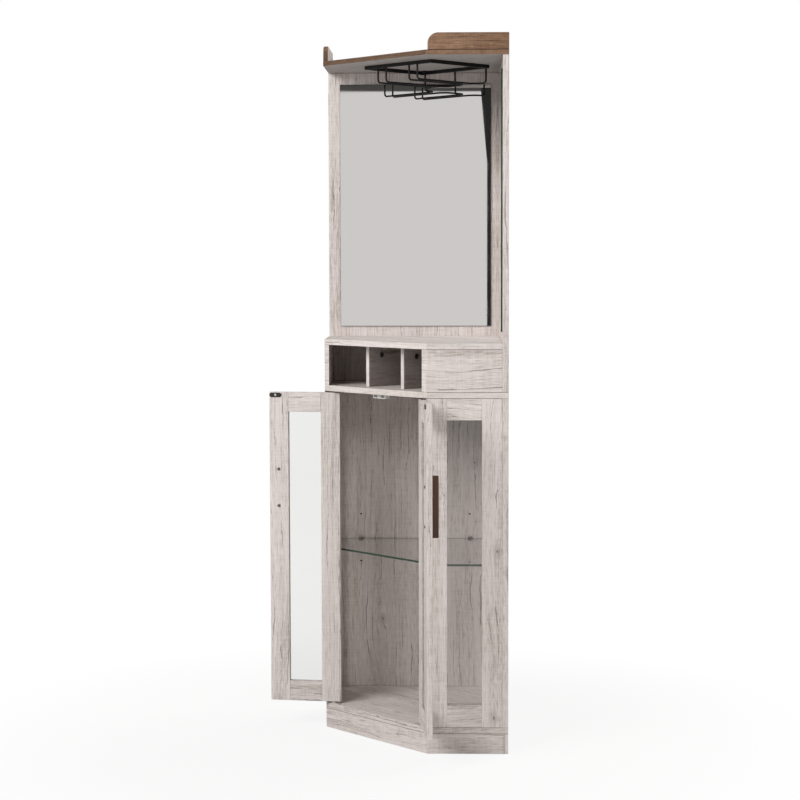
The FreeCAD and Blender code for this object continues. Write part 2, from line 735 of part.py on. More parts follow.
# Side rails on top

def top_rail():
    """Low rail along the right edge of the top, with a round front corner."""
    rail = side_rail_blank()
    x, y = spot(SIDE_WIDTH - RAIL_SETBACK, WALL_LENGTH)
    corner = Vector(x, y, Z_TOP + RAIL_HEIGHT)
    across = [edge for edge in rail.Edges if front_top_edge(edge, corner)]
    return rail.makeFillet(RAIL_CORNER_RADIUS, across)


def side_rail_blank():
    """Right top rail before its corner is rounded."""
    return side_strip(0, SIDE_WIDTH - RAIL_SETBACK, 0, RAIL_THICKNESS, Z_TOP, Z_TOP + RAIL_HEIGHT)


def front_top_edge(edge, corner):
    """True for the short edge across the rail at its front top corner."""
    middle = edge.CenterOfMass
    return middle.distanceToPoint(corner) < RAIL_THICKNESS and edge.Length < RAIL_THICKNESS + OVERRUN \
        and abs(middle.z - corner.z) < FIT_CLEARANCE


# Stemware rack

def rack_frame():
    """Welded rectangle of flat bar on edge, with a screw tab in each corner."""
    half = RACK_WIDTH / 2
    t = RACK_BAR_THICKNESS
    outer = block(-half, half, RACK_FRONT_Y - t / 2, RACK_REAR_Y + t / 2, Z_RACK_BAR, Z_TOP_LOW)
    inner = block(-half + t, half - t, RACK_FRONT_Y + t / 2, RACK_REAR_Y - t / 2,
                  Z_RACK_BAR - OVERRUN, Z_TOP_LOW + OVERRUN)
    frame = outer.cut(inner)
    for seat in rack_screw_seats():
        frame = frame.fuse(rack_tab(seat))
    return frame.removeSplitter().cut(rack_screws(FIT_CLEARANCE))


def rack_tab(seat):
    """Flat tab inside a corner of the rack's frame."""
    side = 1 if seat.x > 0 else -1
    wall = side * (RACK_WIDTH / 2 - RACK_BAR_THICKNESS / 2)
    tip = wall - side * RACK_TAB_LENGTH
    return block(min(wall, tip), max(wall, tip), seat.y - RACK_TAB_WIDTH / 2, seat.y + RACK_TAB_WIDTH / 2,
                 Z_TOP_LOW - RACK_TAB_THICKNESS, Z_TOP_LOW)


def rack_screw_seats():
    """Where the four screw heads rest under the rack's tabs."""
    x = RACK_WIDTH / 2 - RACK_TAB_LENGTH / 2 - RACK_BAR_THICKNESS / 2
    inset = (RACK_TAB_WIDTH + RACK_BAR_THICKNESS) / 2
    ys = (RACK_FRONT_Y + inset, RACK_REAR_Y - inset)
    return [Vector(side * x, y, Z_TOP_LOW - RACK_TAB_THICKNESS) for side in (-1, 1) for y in ys]


def rack_screws(grow=0.0):
    """Screws up through the rack's tabs into the top board."""
    return [pan_screw(seat, UP, RACK_SCREW_LENGTH, grow) for seat in rack_screw_seats()]


def rounded_path(points, radii):
    """Wire through points in straight runs, with an arc of its own radius at each inner point."""
    edges = []
    start = points[0]
    for before, point, after, radius in zip(points, points[1:], points[2:], radii):
        back = (before - point).normalize()
        ahead = (after - point).normalize()
        half_turn = back.getAngle(ahead) / 2
        trim = radius / math.tan(half_turn)
        bisector = (back + ahead).normalize()
        first, last = point + back * trim, point + ahead * trim
        middle = point + bisector * (radius / math.sin(half_turn) - radius)
        edges.append(Part.LineSegment(start, first).toShape())
        edges.append(Part.Arc(first, middle, last).toShape())
        start = last
    edges.append(Part.LineSegment(start, points[-1]).toShape())
    return Part.Wire(edges)


def bent_wire(points, radii):
    """Round wire of the rack along a rounded path."""
    path = rounded_path(points, radii)
    direction = points[1] - points[0]
    profile = Part.Wire([Part.makeCircle(RACK_WIRE_RADIUS, points[0], direction)])
    return path.makePipeShell([profile], True, False)


def rack_centre_wire():
    """Wire between the two slots, turned round at the rear."""
    x = RACK_SLOT_CENTRE - RACK_SLOT_WIDTH / 2
    front, rear = RACK_FRONT_Y, RACK_REAR_Y
    points = [Vector(-x, front, Z_RACK_BAR), Vector(-x, front, Z_RACK_WIRE), Vector(-x, rear, Z_RACK_WIRE),
              Vector(x, rear, Z_RACK_WIRE), Vector(x, front, Z_RACK_WIRE), Vector(x, front, Z_RACK_BAR)]
    return bent_wire(points, [RACK_BEND_RADIUS, RACK_TURN_RADIUS, RACK_TURN_RADIUS, RACK_BEND_RADIUS])


def rack_outer_wire():
    """Wire outside the right slot, which spreads to the rear corner."""
    x, end = RACK_SLOT_CENTRE + RACK_SLOT_WIDTH / 2, RACK_REAR_LEG
    front, rear = RACK_FRONT_Y, RACK_REAR_Y
    points = [Vector(x, front, Z_RACK_BAR), Vector(x, front, Z_RACK_WIRE), Vector(x, rear, Z_RACK_WIRE),
              Vector(end, rear, Z_RACK_WIRE), Vector(end, rear, Z_RACK_BAR)]
    return bent_wire(points, [RACK_BEND_RADIUS, RACK_TURN_RADIUS, RACK_BEND_RADIUS])


def rack_rear_leg():
    """Leg that holds the turn of the centre wire under the rear bar."""
    foot = Z_RACK_WIRE + RACK_WIRE_RADIUS
    return rod(Vector(0, RACK_REAR_Y, foot), UP, RACK_WIRE_RADIUS, Z_RACK_BAR - foot)


def write_shell():
    """Plinth, boards, back panels, mirrors and top rails."""
    save("plinth_front", plinth_front())
    save_pair("plinth_side", plinth_side())
    save_pair("plinth_back", plinth_back())
    save("base_board", base_board())
    save("deck_board", deck_board())
    save("middle_shelf", middle_shelf())
    save("top_board", top_board())
    save_pair("lower_back_panel", lower_back_panel())
    save_pair("upper_back_panel", back_panel(Z_DECK, Z_TOP_LOW))
    save_pair("mirror", mirror_pane())
    save_pair("top_rail", top_rail())
    save("dowels", dowels())


def write_sides():
    """Framed glass sides of the cupboard."""
    save_pair("side_rear_stile", side_rear_stile())
    save_pair("side_front_stile", side_front_stile())
    rails = [side_rail(Z_BASE, Z_WINDOW_LOW), side_rail(Z_WINDOW_HIGH, Z_DECK_LOW)]
    save_pair("side_rails", rails)
    save_pair("side_glass", side_pane(0.0))


def write_doors():
    """The two doors with everything that turns with them."""
    save_door("meeting_stile", door_meeting_stile())
    save_door("hinge_stile", door_hinge_stile())
    save_door("rails", [door_rail(Z_DOOR_LOW, Z_WINDOW_LOW), door_rail(Z_WINDOW_HIGH, Z_DOOR_HIGH)])
    save_door("glass", door_pane(0.0))
    save_door("handle", handle())
    save_door("hinge_leaves", door_leaves())
    save_door("strike_plate", strike_plate())
    screws = handle_screws() + [strike_screw()] + [countersunk(*place) for place in door_leaf_screw_places()]
    save_door("screws", screws)


def write_fittings():
    """Hinge plates, catch, shelf, clips and screws of the lower cupboard."""
    plates = cabinet_plates()
    save("hinge_plates", plates + [mirrored(plate) for plate in plates])
    save("pivot_washers", [pivot_washer(), mirrored(pivot_washer())])
    save("catch_housing", catch_housing())
    save("catch_magnets", catch_magnets())
    screws = [countersunk(*place) for place in cabinet_plate_screw_places()]
    save("fitting_screws", screws + [mirrored(screw) for screw in screws] + [catch_screw()])
    save("glass_shelf", glass_shelf())
    clips = [shelf_clip(along) for along in clip_places()]
    save("shelf_clips", clips + [mirrored(clip) for clip in clips])


def write_bays():
    """Bottle bays between the deck and the middle shelf."""
    save_pair("bay_side", bay_side())
    save("right_bay_divider", divider(DIVIDER_CENTRE))
    save("left_bay_divider", divider(-DIVIDER_CENTRE))
    save("cam_locks", [cam_lock(DIVIDER_CENTRE), cam_lock(-DIVIDER_CENTRE)])


def write_rack():
    """Stemware rack under the top board."""
    save("rack_frame", rack_frame())
    save("rack_centre_wire", rack_centre_wire())
    save("right_rack_wire", rack_outer_wire())
    save("left_rack_wire", mirrored(rack_outer_wire()))
    save("rack_rear_leg", rack_rear_leg())
    save("rack_screws", rack_screws())


os.makedirs("parts", exist_ok=True)
write_shell()
write_sides()
write_doors()
write_fittings()
write_bays()
write_rack()
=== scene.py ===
"""Looks of the corner bar cabinet, laid out as a Blender add-on and run as a script.

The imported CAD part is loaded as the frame. Each operator dresses one group of its pieces.
Lengths are in metres, +Z is up, +Y points into the room corner and the doors face -Y.
"""

import json
import math

import bmesh
import bpy
from bpy.props import FloatProperty, FloatVectorProperty, PointerProperty
from mathutils import Matrix, Vector
from mathutils.bvhtree import BVHTree

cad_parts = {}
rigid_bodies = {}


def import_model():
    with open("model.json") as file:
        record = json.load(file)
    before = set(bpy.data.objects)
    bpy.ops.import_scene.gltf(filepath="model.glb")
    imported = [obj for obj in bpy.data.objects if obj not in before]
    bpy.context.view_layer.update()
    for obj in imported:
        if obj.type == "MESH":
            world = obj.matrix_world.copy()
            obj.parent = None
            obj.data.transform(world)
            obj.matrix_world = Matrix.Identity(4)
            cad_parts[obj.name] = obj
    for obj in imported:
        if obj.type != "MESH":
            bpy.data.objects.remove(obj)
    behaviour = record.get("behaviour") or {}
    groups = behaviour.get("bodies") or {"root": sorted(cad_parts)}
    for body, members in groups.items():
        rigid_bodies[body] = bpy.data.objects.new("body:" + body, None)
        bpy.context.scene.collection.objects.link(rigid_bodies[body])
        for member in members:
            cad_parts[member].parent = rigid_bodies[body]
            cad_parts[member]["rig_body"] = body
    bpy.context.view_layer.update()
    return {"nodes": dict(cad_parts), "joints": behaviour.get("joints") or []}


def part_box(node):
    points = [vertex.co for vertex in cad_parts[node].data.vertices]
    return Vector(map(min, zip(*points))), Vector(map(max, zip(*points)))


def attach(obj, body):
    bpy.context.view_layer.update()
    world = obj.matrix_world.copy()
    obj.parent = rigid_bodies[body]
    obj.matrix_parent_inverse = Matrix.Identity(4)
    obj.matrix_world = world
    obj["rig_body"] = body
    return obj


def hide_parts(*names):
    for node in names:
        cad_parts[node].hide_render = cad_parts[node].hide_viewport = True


bl_info = {
    "name": "Corner Bar Cabinet",
    "version": (1, 0, 0),
    "blender": (4, 5, 0),
    "location": "3D View > Sidebar > Cabinet",
    "description": "Boards, doors, glass, mirrors, rack, fittings and stage of a corner bar cabinet",
    "category": "Object",
}

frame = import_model()
NODES = frame["nodes"]
JOINTS = {joint["name"]: joint for joint in frame["joints"]}

MM = 0.001
UP = Vector((0, 0, 1))
ACROSS = Vector((1, 0, 0))
INWARDS = Vector((0, 1, 0))
FORWARDS = Vector((0, -1, 0))
HALF = 0.5 ** 0.5
WELD = 0.005 * MM
# Directions along the two walls, away from the room corner, and the sign of X on each side
WALLS = {"right": Vector((HALF, -HALF, 0)), "left": Vector((-HALF, -HALF, 0))}
SIDES = {"right": 1, "left": -1}

# The right door turns about its pivot; at rest it stands open by this angle.
PIVOT_X = JOINTS["right_door_hinge"]["pos_m"][0]
OPEN_ANGLE = math.radians(-JOINTS["right_door_hinge"]["range_deg"][0])


def linear(code):
    """Linear RGB of an sRGB hex colour."""
    channels = [int(code[place:place + 2], 16) / 255 for place in (1, 3, 5)]
    return tuple(c / 12.92 if c <= 0.04045 else ((c + 0.055) / 1.055) ** 2.4 for c in channels)


def colour(name, description, code):
    """A colour property with an sRGB hex default."""
    return FloatVectorProperty(name=name, description=description, default=linear(code),
                               size=3, min=0, max=1, subtype="COLOR")


def length(name, description, millimetres):
    """A length property with a default in millimetres."""
    return FloatProperty(name=name, description=description, default=millimetres * MM,
                         min=0, unit="LENGTH")


def power(name, description, watts):
    """A light's power, with a default in watts."""
    return FloatProperty(name=name, description=description, default=watts, min=0, unit="POWER")


# ---- settings

class CabinetSizes(bpy.types.PropertyGroup):
    """Sizes of the details that the looks add to the CAD part."""
    board_ease: length("Board edge ease", "Rounding of the edges of boards and rails", 1.0)
    glass_ease: length("Glass edge ease", "Ground edge of panes and mirrors", 0.5)
    handle_ease: length("Handle rounding", "Rounding of the bar handle's outer edges", 1.5)
    wire_radius: length("Rack wire radius", "Radius of the stemware rack's wire", 2.4)
    weld_radius: length("Weld bead radius", "Radius of the weld beads of the rack", 3.1)


class CabinetColours(bpy.types.PropertyGroup):
    """Colours of the finishes."""
    oak_pale: colour("Oak, pale", "Lightest tone of the grey-washed oak", "#ddd5d2")
    oak_mid: colour("Oak, middle", "Main tone of the grey-washed oak", "#cec5c1")
    oak_deep: colour("Oak, deep", "Darkest band of the grey-washed oak", "#a99d98")
    oak_crack: colour("Oak, cracks", "Cracks and knots of the grey-washed oak", "#73665f")
    oak_seam: colour("Oak, seams", "Shaded joints between the grey-washed boards", "#a0948d")
    brown_seam: colour("Brown oak, seams", "Shaded joints between the brown boards", "#3c2a20")
    brown_pale: colour("Brown oak, pale", "Lightest tone of the brown oak", "#92735c")
    brown_mid: colour("Brown oak, middle", "Main tone of the brown oak", "#745740")
    brown_deep: colour("Brown oak, deep", "Darkest band of the brown oak", "#5c4130")
    brown_crack: colour("Brown oak, cracks", "Cracks of the brown oak", "#39281f")
    walnut: colour("Handle", "Main tone of the dark handles", "#523527")
    walnut_deep: colour("Handle, grain", "Grain lines of the dark handles", "#382318")
    glass: colour("Clear glass", "Tint of the clear panes", "#ebebea")
    glass_edge: colour("Glass edge", "Edge of the panes", "#20342a")
    mirror: colour("Mirror", "Silvered face", "#e8e8e7")
    # Painted shade: the raw board in the peg holes, darkened to near black like the shade deep inside them.
    drilling: colour("Drilled board", "Raw board inside the drilled holes", "#120f0e")
    grey_plate: colour("Lower hinge plates", "Grey lacquer of the lower hinge plates", "#a9a09b")
    black_wire: colour("Rack", "Black paint of the rack", "#0b0a0a")
    black_metal: colour("Pivot hinges", "Blackened steel of hinges and strikes", "#1c1b1b")
    bronze: colour("Handle screws", "Bronzed steel of the handle screws", "#6a574c")
    zinc: colour("Cam locks", "Die-cast zinc", "#5d5b56")
    steel: colour("Screws", "Zinc-plated steel", "#d6d5d2")
    clip: colour("Shelf clips", "Nickel-plated clip", "#a3a099")
    plastic: colour("Catch", "Off-white housing", "#f5f5f4")
    magnet: colour("Magnets", "Magnets of the catch", "#93918f")
    nylon: colour("Washers", "Pivot washers", "#d8d6cf")
    beech: colour("Dowels", "Beech dowels", "#c8a57c")


class CabinetStage(bpy.types.PropertyGroup):
    """Studio round the cabinet."""
    key_power: power("Front light", "Power of the large light in front of the doors", 236)
    side_power: power("Side light", "Power of the large light at the right side", 59)
    rear_power: power("Rear light", "Power of the large light behind the cabinet", 95)
    ambient: FloatProperty(name="Ambient", description="Strength of the even light from all round",
                           default=0.225, min=0)
    floor: colour("Floor", "Pale studio floor", "#c9c8c6")
    room: colour("Mirrored room", "Backdrop that the mirrors show", "#e0dddc")
    ceiling: colour("Mirrored ceiling", "Dark studio above the backdrop", "#4a4946")
    gap: colour("Mirrored gap", "Dark gap beside the backdrop", "#2c2b2a")
    lens: FloatProperty(name="Lens", description="Focal length of the camera in millimetres",
                        default=84.77, min=1)


# ---- nodes and materials

# Both ends of a range that is mapped, and of what it is mapped to
FROM, TO = ("From Min", "From Max"), ("To Min", "To Max")
SMOOTH = {"interpolation_type": "SMOOTHSTEP"}
# Middle range of a noise layer, where most of its values lie
USUAL = (0.3, 0.7)


def add(tree, kind, inputs=None, **values):
    """Adds a shader node. An input takes a value, an output, or a node for its first output.

    A pair of inputs takes a pair of values.
    """
    node = tree.nodes.new("ShaderNode" + kind)
    for name, value in values.items():
        setattr(node, name, value)
    for keys, given in (inputs or {}).items():
        for key, value in zip(keys, given) if isinstance(keys, tuple) else ((keys, given),):
            if isinstance(value, bpy.types.Node):
                value = value.outputs[0]
            if isinstance(value, bpy.types.NodeSocket):
                tree.links.new(value, node.inputs[key])
            else:
                node.inputs[key].default_value = value
    return node


def material(name, surface, *facts, **options):
    """A node material of a name, whose shader a function of the tree and its other facts builds."""
    made = bpy.data.materials.new(name)
    made.use_nodes = True
    made.node_tree.nodes.clear()
    add(made.node_tree, "OutputMaterial", {"Surface": surface(made.node_tree, *facts, **options)})
    return made


def rgba(rgb):
    """A colour with full alpha."""
    return (*rgb, 1.0)


def toned(tones, share):
    """The same tones, all darker or lighter by a share."""
    return [tuple(share * channel for channel in tone) for tone in tones]


def per_metre(along, across, size=1.0):
    """Mapping scale for a pattern whose features are this many millimetres long and wide."""
    return (1000 / (along * size), 1000 / (across * size), 1)


# Millimetres along and across the grain, and detail, of each layer of a wood print
WOOD_LAYERS = {
    "cloud": (600, 55, 2.0),
    "band": (420, 10, 4.0),
    "streak": (95, 3.0, 2.0),
    "pore": (24, 2.4, 1.0),
    "bend": (170, 60, 3.0),
    "crack_place": (210, 24, 1.5),
    "dash": (44, 3.0, 1.0),
    "dash_place": (150, 45, 1.0),
    "saw": (4.0, 70, 1.0),
    "beige": (260, 70, 1.0),
}
# Share of each layer in the tone, and where the deep, middle and pale tones stand on its scale
TONE_SHARES = {"cloud": 0.56, "band": 0.48, "streak": 0.56, "pore": 0.56}
TONE_STOPS = (0.24, 0.47, 0.72)
# Cracks: millimetres apart, and their width, taper, waviness and bend as shares of that. The range
# of the layer in which they show, how dark they are, and the width that keeps the division whole.
CRACK_SPACING = 19.0
CRACK_WIDTH, CRACK_TAPER, CRACK_RAGGED, CRACK_BEND = 0.095, 0.3, 0.22, 1.6
CRACK_SHOWN, CRACK_DEPTH, LEAST_WIDTH = (0.49, 0.66), 0.75, 0.0001
# Dashes: the ranges in which they and their patches show, and how dark they are
DASH_SHOWN, DASH_PATCH, DASH_DEPTH = (0.58, 0.74), (0.42, 0.66), 0.34
# Knots: cell and raggedness in millimetres, roundness, and share of cells with one
KNOT_CELL, KNOT_RAGGED, KNOT_ROUNDNESS, KNOT_SHARE = (430, 110), 3.0, 0.66, 0.30
# Eye and ring of a knot: outer and inner radius in millimetres, and how dark they are
KNOT_EYE, KNOT_RING = (5.0, 0.0, 0.95), (17.0, 4.0, 0.26)
# How far, in cells, and how hard a knot pulls the grain
KNOT_REACH, KNOT_PULL = 0.46, 0.75
# Slow wander of the grain: millimetres along and across, and how far it goes in metres
WANDER, WANDER_REACH = (520, 95), 0.05
# Beige cast of some stretches
WARM_SHOWN, WARM_TINT, WARM_SHARE = (0.45, 0.75), (0.93, 0.90, 0.80), 0.25
# Pressed grain: depth in metres, strength, share of the streaks, and how much duller and glossier it gets
GRAIN_RELIEF, GRAIN_STRENGTH, STREAK_RELIEF, DULLER, GLOSSIER = 0.0006, 0.35, 0.5, 0.08, 0.05
PRINT_SPECULAR = 0.35
# Raggedness of the layers' noise
LAYER_ROUGHNESS = 0.55
# Refractive index of glass, foil and lacquer
IOR = 1.5


def wood(tree, tones, crack, roughness, size=1.0, cracks=1.0, knots=1.0, saw=0.22):
    """Wood figure on the UV map "grain", whose U runs along the grain in metres."""
    surface_place = add(tree, "UVMap", uv_map="grain")

    # The figure wanders slowly and swings round the knots.
    slow = add(tree, "Mapping", {"Vector": surface_place, "Scale": per_metre(*WANDER, size)})
    wander = add(tree, "TexNoise", {"Vector": slow, "Scale": 1.0, "Detail": 1.0})
    cell = per_metre(*KNOT_CELL, size)
    cells = add(tree, "Mapping", {"Vector": surface_place, "Scale": cell})
    knot = add(tree, "TexVoronoi", {"Vector": cells, "Scale": 1.0}, feature="F1")
    away = add(tree, "VectorMath", {0: cells, 1: knot.outputs["Position"]}, operation="SUBTRACT")
    pick = add(tree, "SeparateColor", {0: knot.outputs["Color"]})
    chosen = add(tree, "Math", {0: pick, 1: 1.0 - KNOT_SHARE * knots}, operation="GREATER_THAN")
    near = add(tree, "MapRange", {"Value": knot.outputs["Distance"], FROM: (KNOT_REACH, 0.0)}, **SMOOTH)
    pull = add(tree, "Math", {0: near, 1: chosen}, operation="MULTIPLY")
    across = add(tree, "SeparateXYZ", {0: away}).outputs[1]
    swing = add(tree, "Math", {0: across, 1: pull}, operation="MULTIPLY")
    swing = add(tree, "Math", {0: swing, 1: -KNOT_PULL / cell[1]}, operation="MULTIPLY")
    drift = add(tree, "Math", {0: wander, 1: WANDER_REACH * size, 2: swing}, operation="MULTIPLY_ADD")
    shift = add(tree, "CombineXYZ", {"Y": drift})
    place = add(tree, "VectorMath", {0: surface_place, 1: shift}, operation="ADD")

    layer = {}
    for key, (along, wide, detail) in WOOD_LAYERS.items():
        where = place if key in ("band", "streak", "pore", "dash") else surface_place
        scale = per_metre(along * (1.0 if key == "saw" else size), wide * size)
        mapped = add(tree, "Mapping", {"Vector": where, "Scale": scale})
        layer[key] = add(tree, "TexNoise", {"Vector": mapped, "Scale": 1.0, "Detail": detail,
                                            "Roughness": LAYER_ROUGHNESS})

    # Broad tone of the print
    tone = 0.5
    for key, share in (*TONE_SHARES.items(), ("saw", saw)):
        part = add(tree, "Math", {0: layer[key], 1: share, 2: -share / 2}, operation="MULTIPLY_ADD")
        tone = add(tree, "Math", {0: tone, 1: part}, operation="ADD")
    ramp = add(tree, "ValToRGB", {0: tone})
    stops = ramp.color_ramp.elements
    stops.new(TONE_STOPS[1])
    for stop, position, shade in zip(stops, TONE_STOPS, tones):
        stop.position, stop.color = position, rgba(shade)

    # Cracks are thin lines along the grain, a few of which show for a stretch and taper off.
    lane = add(tree, "SeparateXYZ", {0: place}).outputs[1]
    lanes = 1000 / (CRACK_SPACING * size)
    ragged = add(tree, "Math", {0: layer["pore"], 1: CRACK_RAGGED}, operation="MULTIPLY")
    lane = add(tree, "Math", {0: lane, 1: lanes, 2: ragged}, operation="MULTIPLY_ADD")
    lane = add(tree, "Math", {0: layer["bend"], 1: CRACK_BEND, 2: lane}, operation="MULTIPLY_ADD")
    off_line = add(tree, "Math", {0: lane, 1: 0.5}, operation="PINGPONG")
    shown = add(tree, "MapRange", {"Value": layer["crack_place"], FROM: CRACK_SHOWN})
    width = add(tree, "Math", {0: shown, 1: CRACK_WIDTH, 2: LEAST_WIDTH}, operation="MULTIPLY_ADD")
    off_line = add(tree, "Math", {0: off_line, 1: width}, operation="DIVIDE")
    line = add(tree, "MapRange", {"Value": off_line, FROM: (1.0, CRACK_TAPER),
                                  "To Max": CRACK_DEPTH * cracks}, **SMOOTH)

    # Short dark dashes gather in patches.
    dash = add(tree, "MapRange", {"Value": layer["dash"], FROM: DASH_SHOWN}, **SMOOTH)
    patch = add(tree, "MapRange", {"Value": layer["dash_place"], FROM: DASH_PATCH,
                                   "To Max": DASH_DEPTH * cracks})
    dark = add(tree, "Math", {0: dash, 1: patch}, operation="MULTIPLY")
    dark = add(tree, "Math", {0: dark, 1: line}, operation="MAXIMUM")

    # Knots: a dark eye with a softer ring
    true_size = (KNOT_CELL[0] * size * KNOT_ROUNDNESS, KNOT_CELL[1] * size, 0)
    metric = add(tree, "VectorMath", {0: away, 1: true_size}, operation="MULTIPLY")
    radius = add(tree, "VectorMath", {0: metric}, operation="LENGTH").outputs[1]
    ragged = add(tree, "Math", {0: layer["streak"], 1: KNOT_RAGGED * size, 2: -KNOT_RAGGED * size / 2},
                 operation="MULTIPLY_ADD")
    radius = add(tree, "Math", {0: radius, 1: ragged}, operation="ADD")
    for outer, inner, depth in (KNOT_EYE, KNOT_RING):
        mask = add(tree, "MapRange", {"Value": radius, FROM: (outer * size, inner * size), "To Max": depth},
                   **SMOOTH)
        mask = add(tree, "Math", {0: mask, 1: chosen}, operation="MULTIPLY")
        dark = add(tree, "Math", {0: dark, 1: mask}, operation="MAXIMUM")

    warm = add(tree, "MapRange", {"Value": layer["beige"], FROM: WARM_SHOWN, "To Max": WARM_SHARE})
    warm = add(tree, "Mix", {"Factor": warm, "A": ramp, "B": rgba(WARM_TINT)}, data_type="RGBA",
               blend_type="MULTIPLY").outputs[2]
    printed = add(tree, "Mix", {"Factor": dark, "A": warm, "B": rgba(crack)}, data_type="RGBA").outputs[2]

    # Pressed grain: pores and cracks lie a little below the surface.
    relief = add(tree, "Math", {0: layer["streak"], 1: STREAK_RELIEF, 2: layer["pore"]},
                 operation="MULTIPLY_ADD")
    relief = add(tree, "Math", {0: relief, 1: dark}, operation="SUBTRACT")
    bump = add(tree, "Bump", {"Height": relief, "Strength": GRAIN_STRENGTH, "Distance": GRAIN_RELIEF})
    sheen = add(tree, "MapRange", {"Value": layer["pore"], FROM: USUAL,
                                   TO: (roughness + DULLER, roughness - GLOSSIER)})
    return add(tree, "BsdfPrincipled", {"Base Color": printed, "Roughness": sheen, "Normal": bump,
                                        "IOR": IOR, "Specular IOR Level": PRINT_SPECULAR})


# Even finishes: size of the broad unevenness against the fine one, share of the fine one, the range in
# which it shows, the least and most roughness against the finish's own, the strength of the relief, and
# how much grey its pale patches gain
BROAD_SIZE, FINE_SHARE, UNEVEN_SHOWN, ROUGH_RANGE = 14, 0.4, (0.45, 0.95), (0.85, 1.2)
RELIEF_STRENGTH, PALE_LIFT = 0.5, 0.02
# Smears on glass and haze on mirrors: how many to a metre, the roughness that they reach, and the
# haze's darkest tone against the mirror's
SMEARS, SMEAR_ROUGHNESS = 14.0, 0.012
HAZE, HAZE_ROUGHNESS, HAZE_TONE = 9.0, 0.015, 0.985
# Marks of the grinding on a glass edge: how many to a metre along X, Y and Z, and the range of their
# tone and roughness
GRINDING, GRINDING_TONES, GRINDING_ROUGHNESS = (60, 60, 900), (0.6, 1.6), (0.10, 0.30)


def mottle(tree, scale, detail):
    """Uneven patches all over a piece, this many to a metre."""
    return add(tree, "TexNoise", {"Vector": add(tree, "TexCoord").outputs["Object"], "Scale": scale,
                                  "Detail": detail})


def even(tree, base, roughness, metallic=0.0, grain=2.0, variation=0.06, relief=4e-5, ior=IOR):
    """A moulded, plated or painted surface, with a fine unevenness of a size in millimetres."""
    fine = mottle(tree, 1000 / grain, 3.0)
    broad = mottle(tree, 1000 / (grain * BROAD_SIZE), 2.0)
    both = add(tree, "Math", {0: fine, 1: FINE_SHARE, 2: broad}, operation="MULTIPLY_ADD")
    amount = add(tree, "MapRange", {"Value": both, FROM: UNEVEN_SHOWN})
    lighter = tuple(min(1, c * (1 + variation) + variation * PALE_LIFT) for c in base)
    (darker,) = toned([base], 1 - variation)
    tint = add(tree, "Mix", {"Factor": amount, "A": rgba(darker), "B": rgba(lighter)}, data_type="RGBA")
    least, most = (roughness * share for share in ROUGH_RANGE)
    rough = add(tree, "MapRange", {"Value": amount, TO: (least, min(1, most))})
    bump = add(tree, "Bump", {"Height": fine, "Strength": RELIEF_STRENGTH, "Distance": relief})
    inputs = {"Base Color": tint.outputs[2], "Roughness": rough, "Normal": bump, "Metallic": metallic}
    if not metallic:
        inputs["IOR"] = ior
    return add(tree, "BsdfPrincipled", inputs)


def pane_glass(tree, tint):
    """Clear float glass: light goes straight through it, and its faces mirror a little."""
    smear = mottle(tree, SMEARS, 2.0)
    rough = add(tree, "MapRange", {"Value": smear, FROM: USUAL, "To Max": SMEAR_ROUGHNESS})
    glass = add(tree, "BsdfPrincipled", {"Base Color": rgba(tint), "Roughness": rough, "IOR": IOR,
                                         "Transmission Weight": 1.0})
    through = add(tree, "BsdfTransparent", {"Color": rgba([0.5 + 0.5 * c for c in tint])})
    ray = add(tree, "LightPath").outputs
    passing = add(tree, "Math", {0: ray["Is Shadow Ray"], 1: ray["Is Diffuse Ray"]}, operation="MAXIMUM")
    return add(tree, "MixShader", {0: passing, 1: glass, 2: through})


def ground_edge(tree, base):
    """Ground edge of float glass: the light in it comes out dark green."""
    marks = add(tree, "Mapping", {"Vector": add(tree, "TexCoord").outputs["Object"], "Scale": GRINDING})
    noise = add(tree, "TexNoise", {"Vector": marks, "Scale": 1.0, "Detail": 2.0})
    (darker,), (lighter,) = (toned([base], share) for share in GRINDING_TONES)
    tint = add(tree, "Mix", {"Factor": noise, "A": rgba(darker), "B": rgba(lighter)}, data_type="RGBA")
    rough = add(tree, "MapRange", {"Value": noise, TO: GRINDING_ROUGHNESS})
    return add(tree, "BsdfPrincipled", {"Base Color": tint.outputs[2], "Roughness": rough, "IOR": IOR})


def silvered(tree, base):
    """Silvered glass: a mirror with a trace of green and the faintest haze."""
    haze = mottle(tree, HAZE, 3.0)
    rough = add(tree, "MapRange", {"Value": haze, FROM: USUAL, "To Max": HAZE_ROUGHNESS})
    (darker,) = toned([base], HAZE_TONE)
    tint = add(tree, "Mix", {"Factor": haze, "A": rgba(darker), "B": rgba(base)}, data_type="RGBA")
    return add(tree, "BsdfPrincipled", {"Base Color": tint.outputs[2], "Metallic": 1.0, "Roughness": rough})


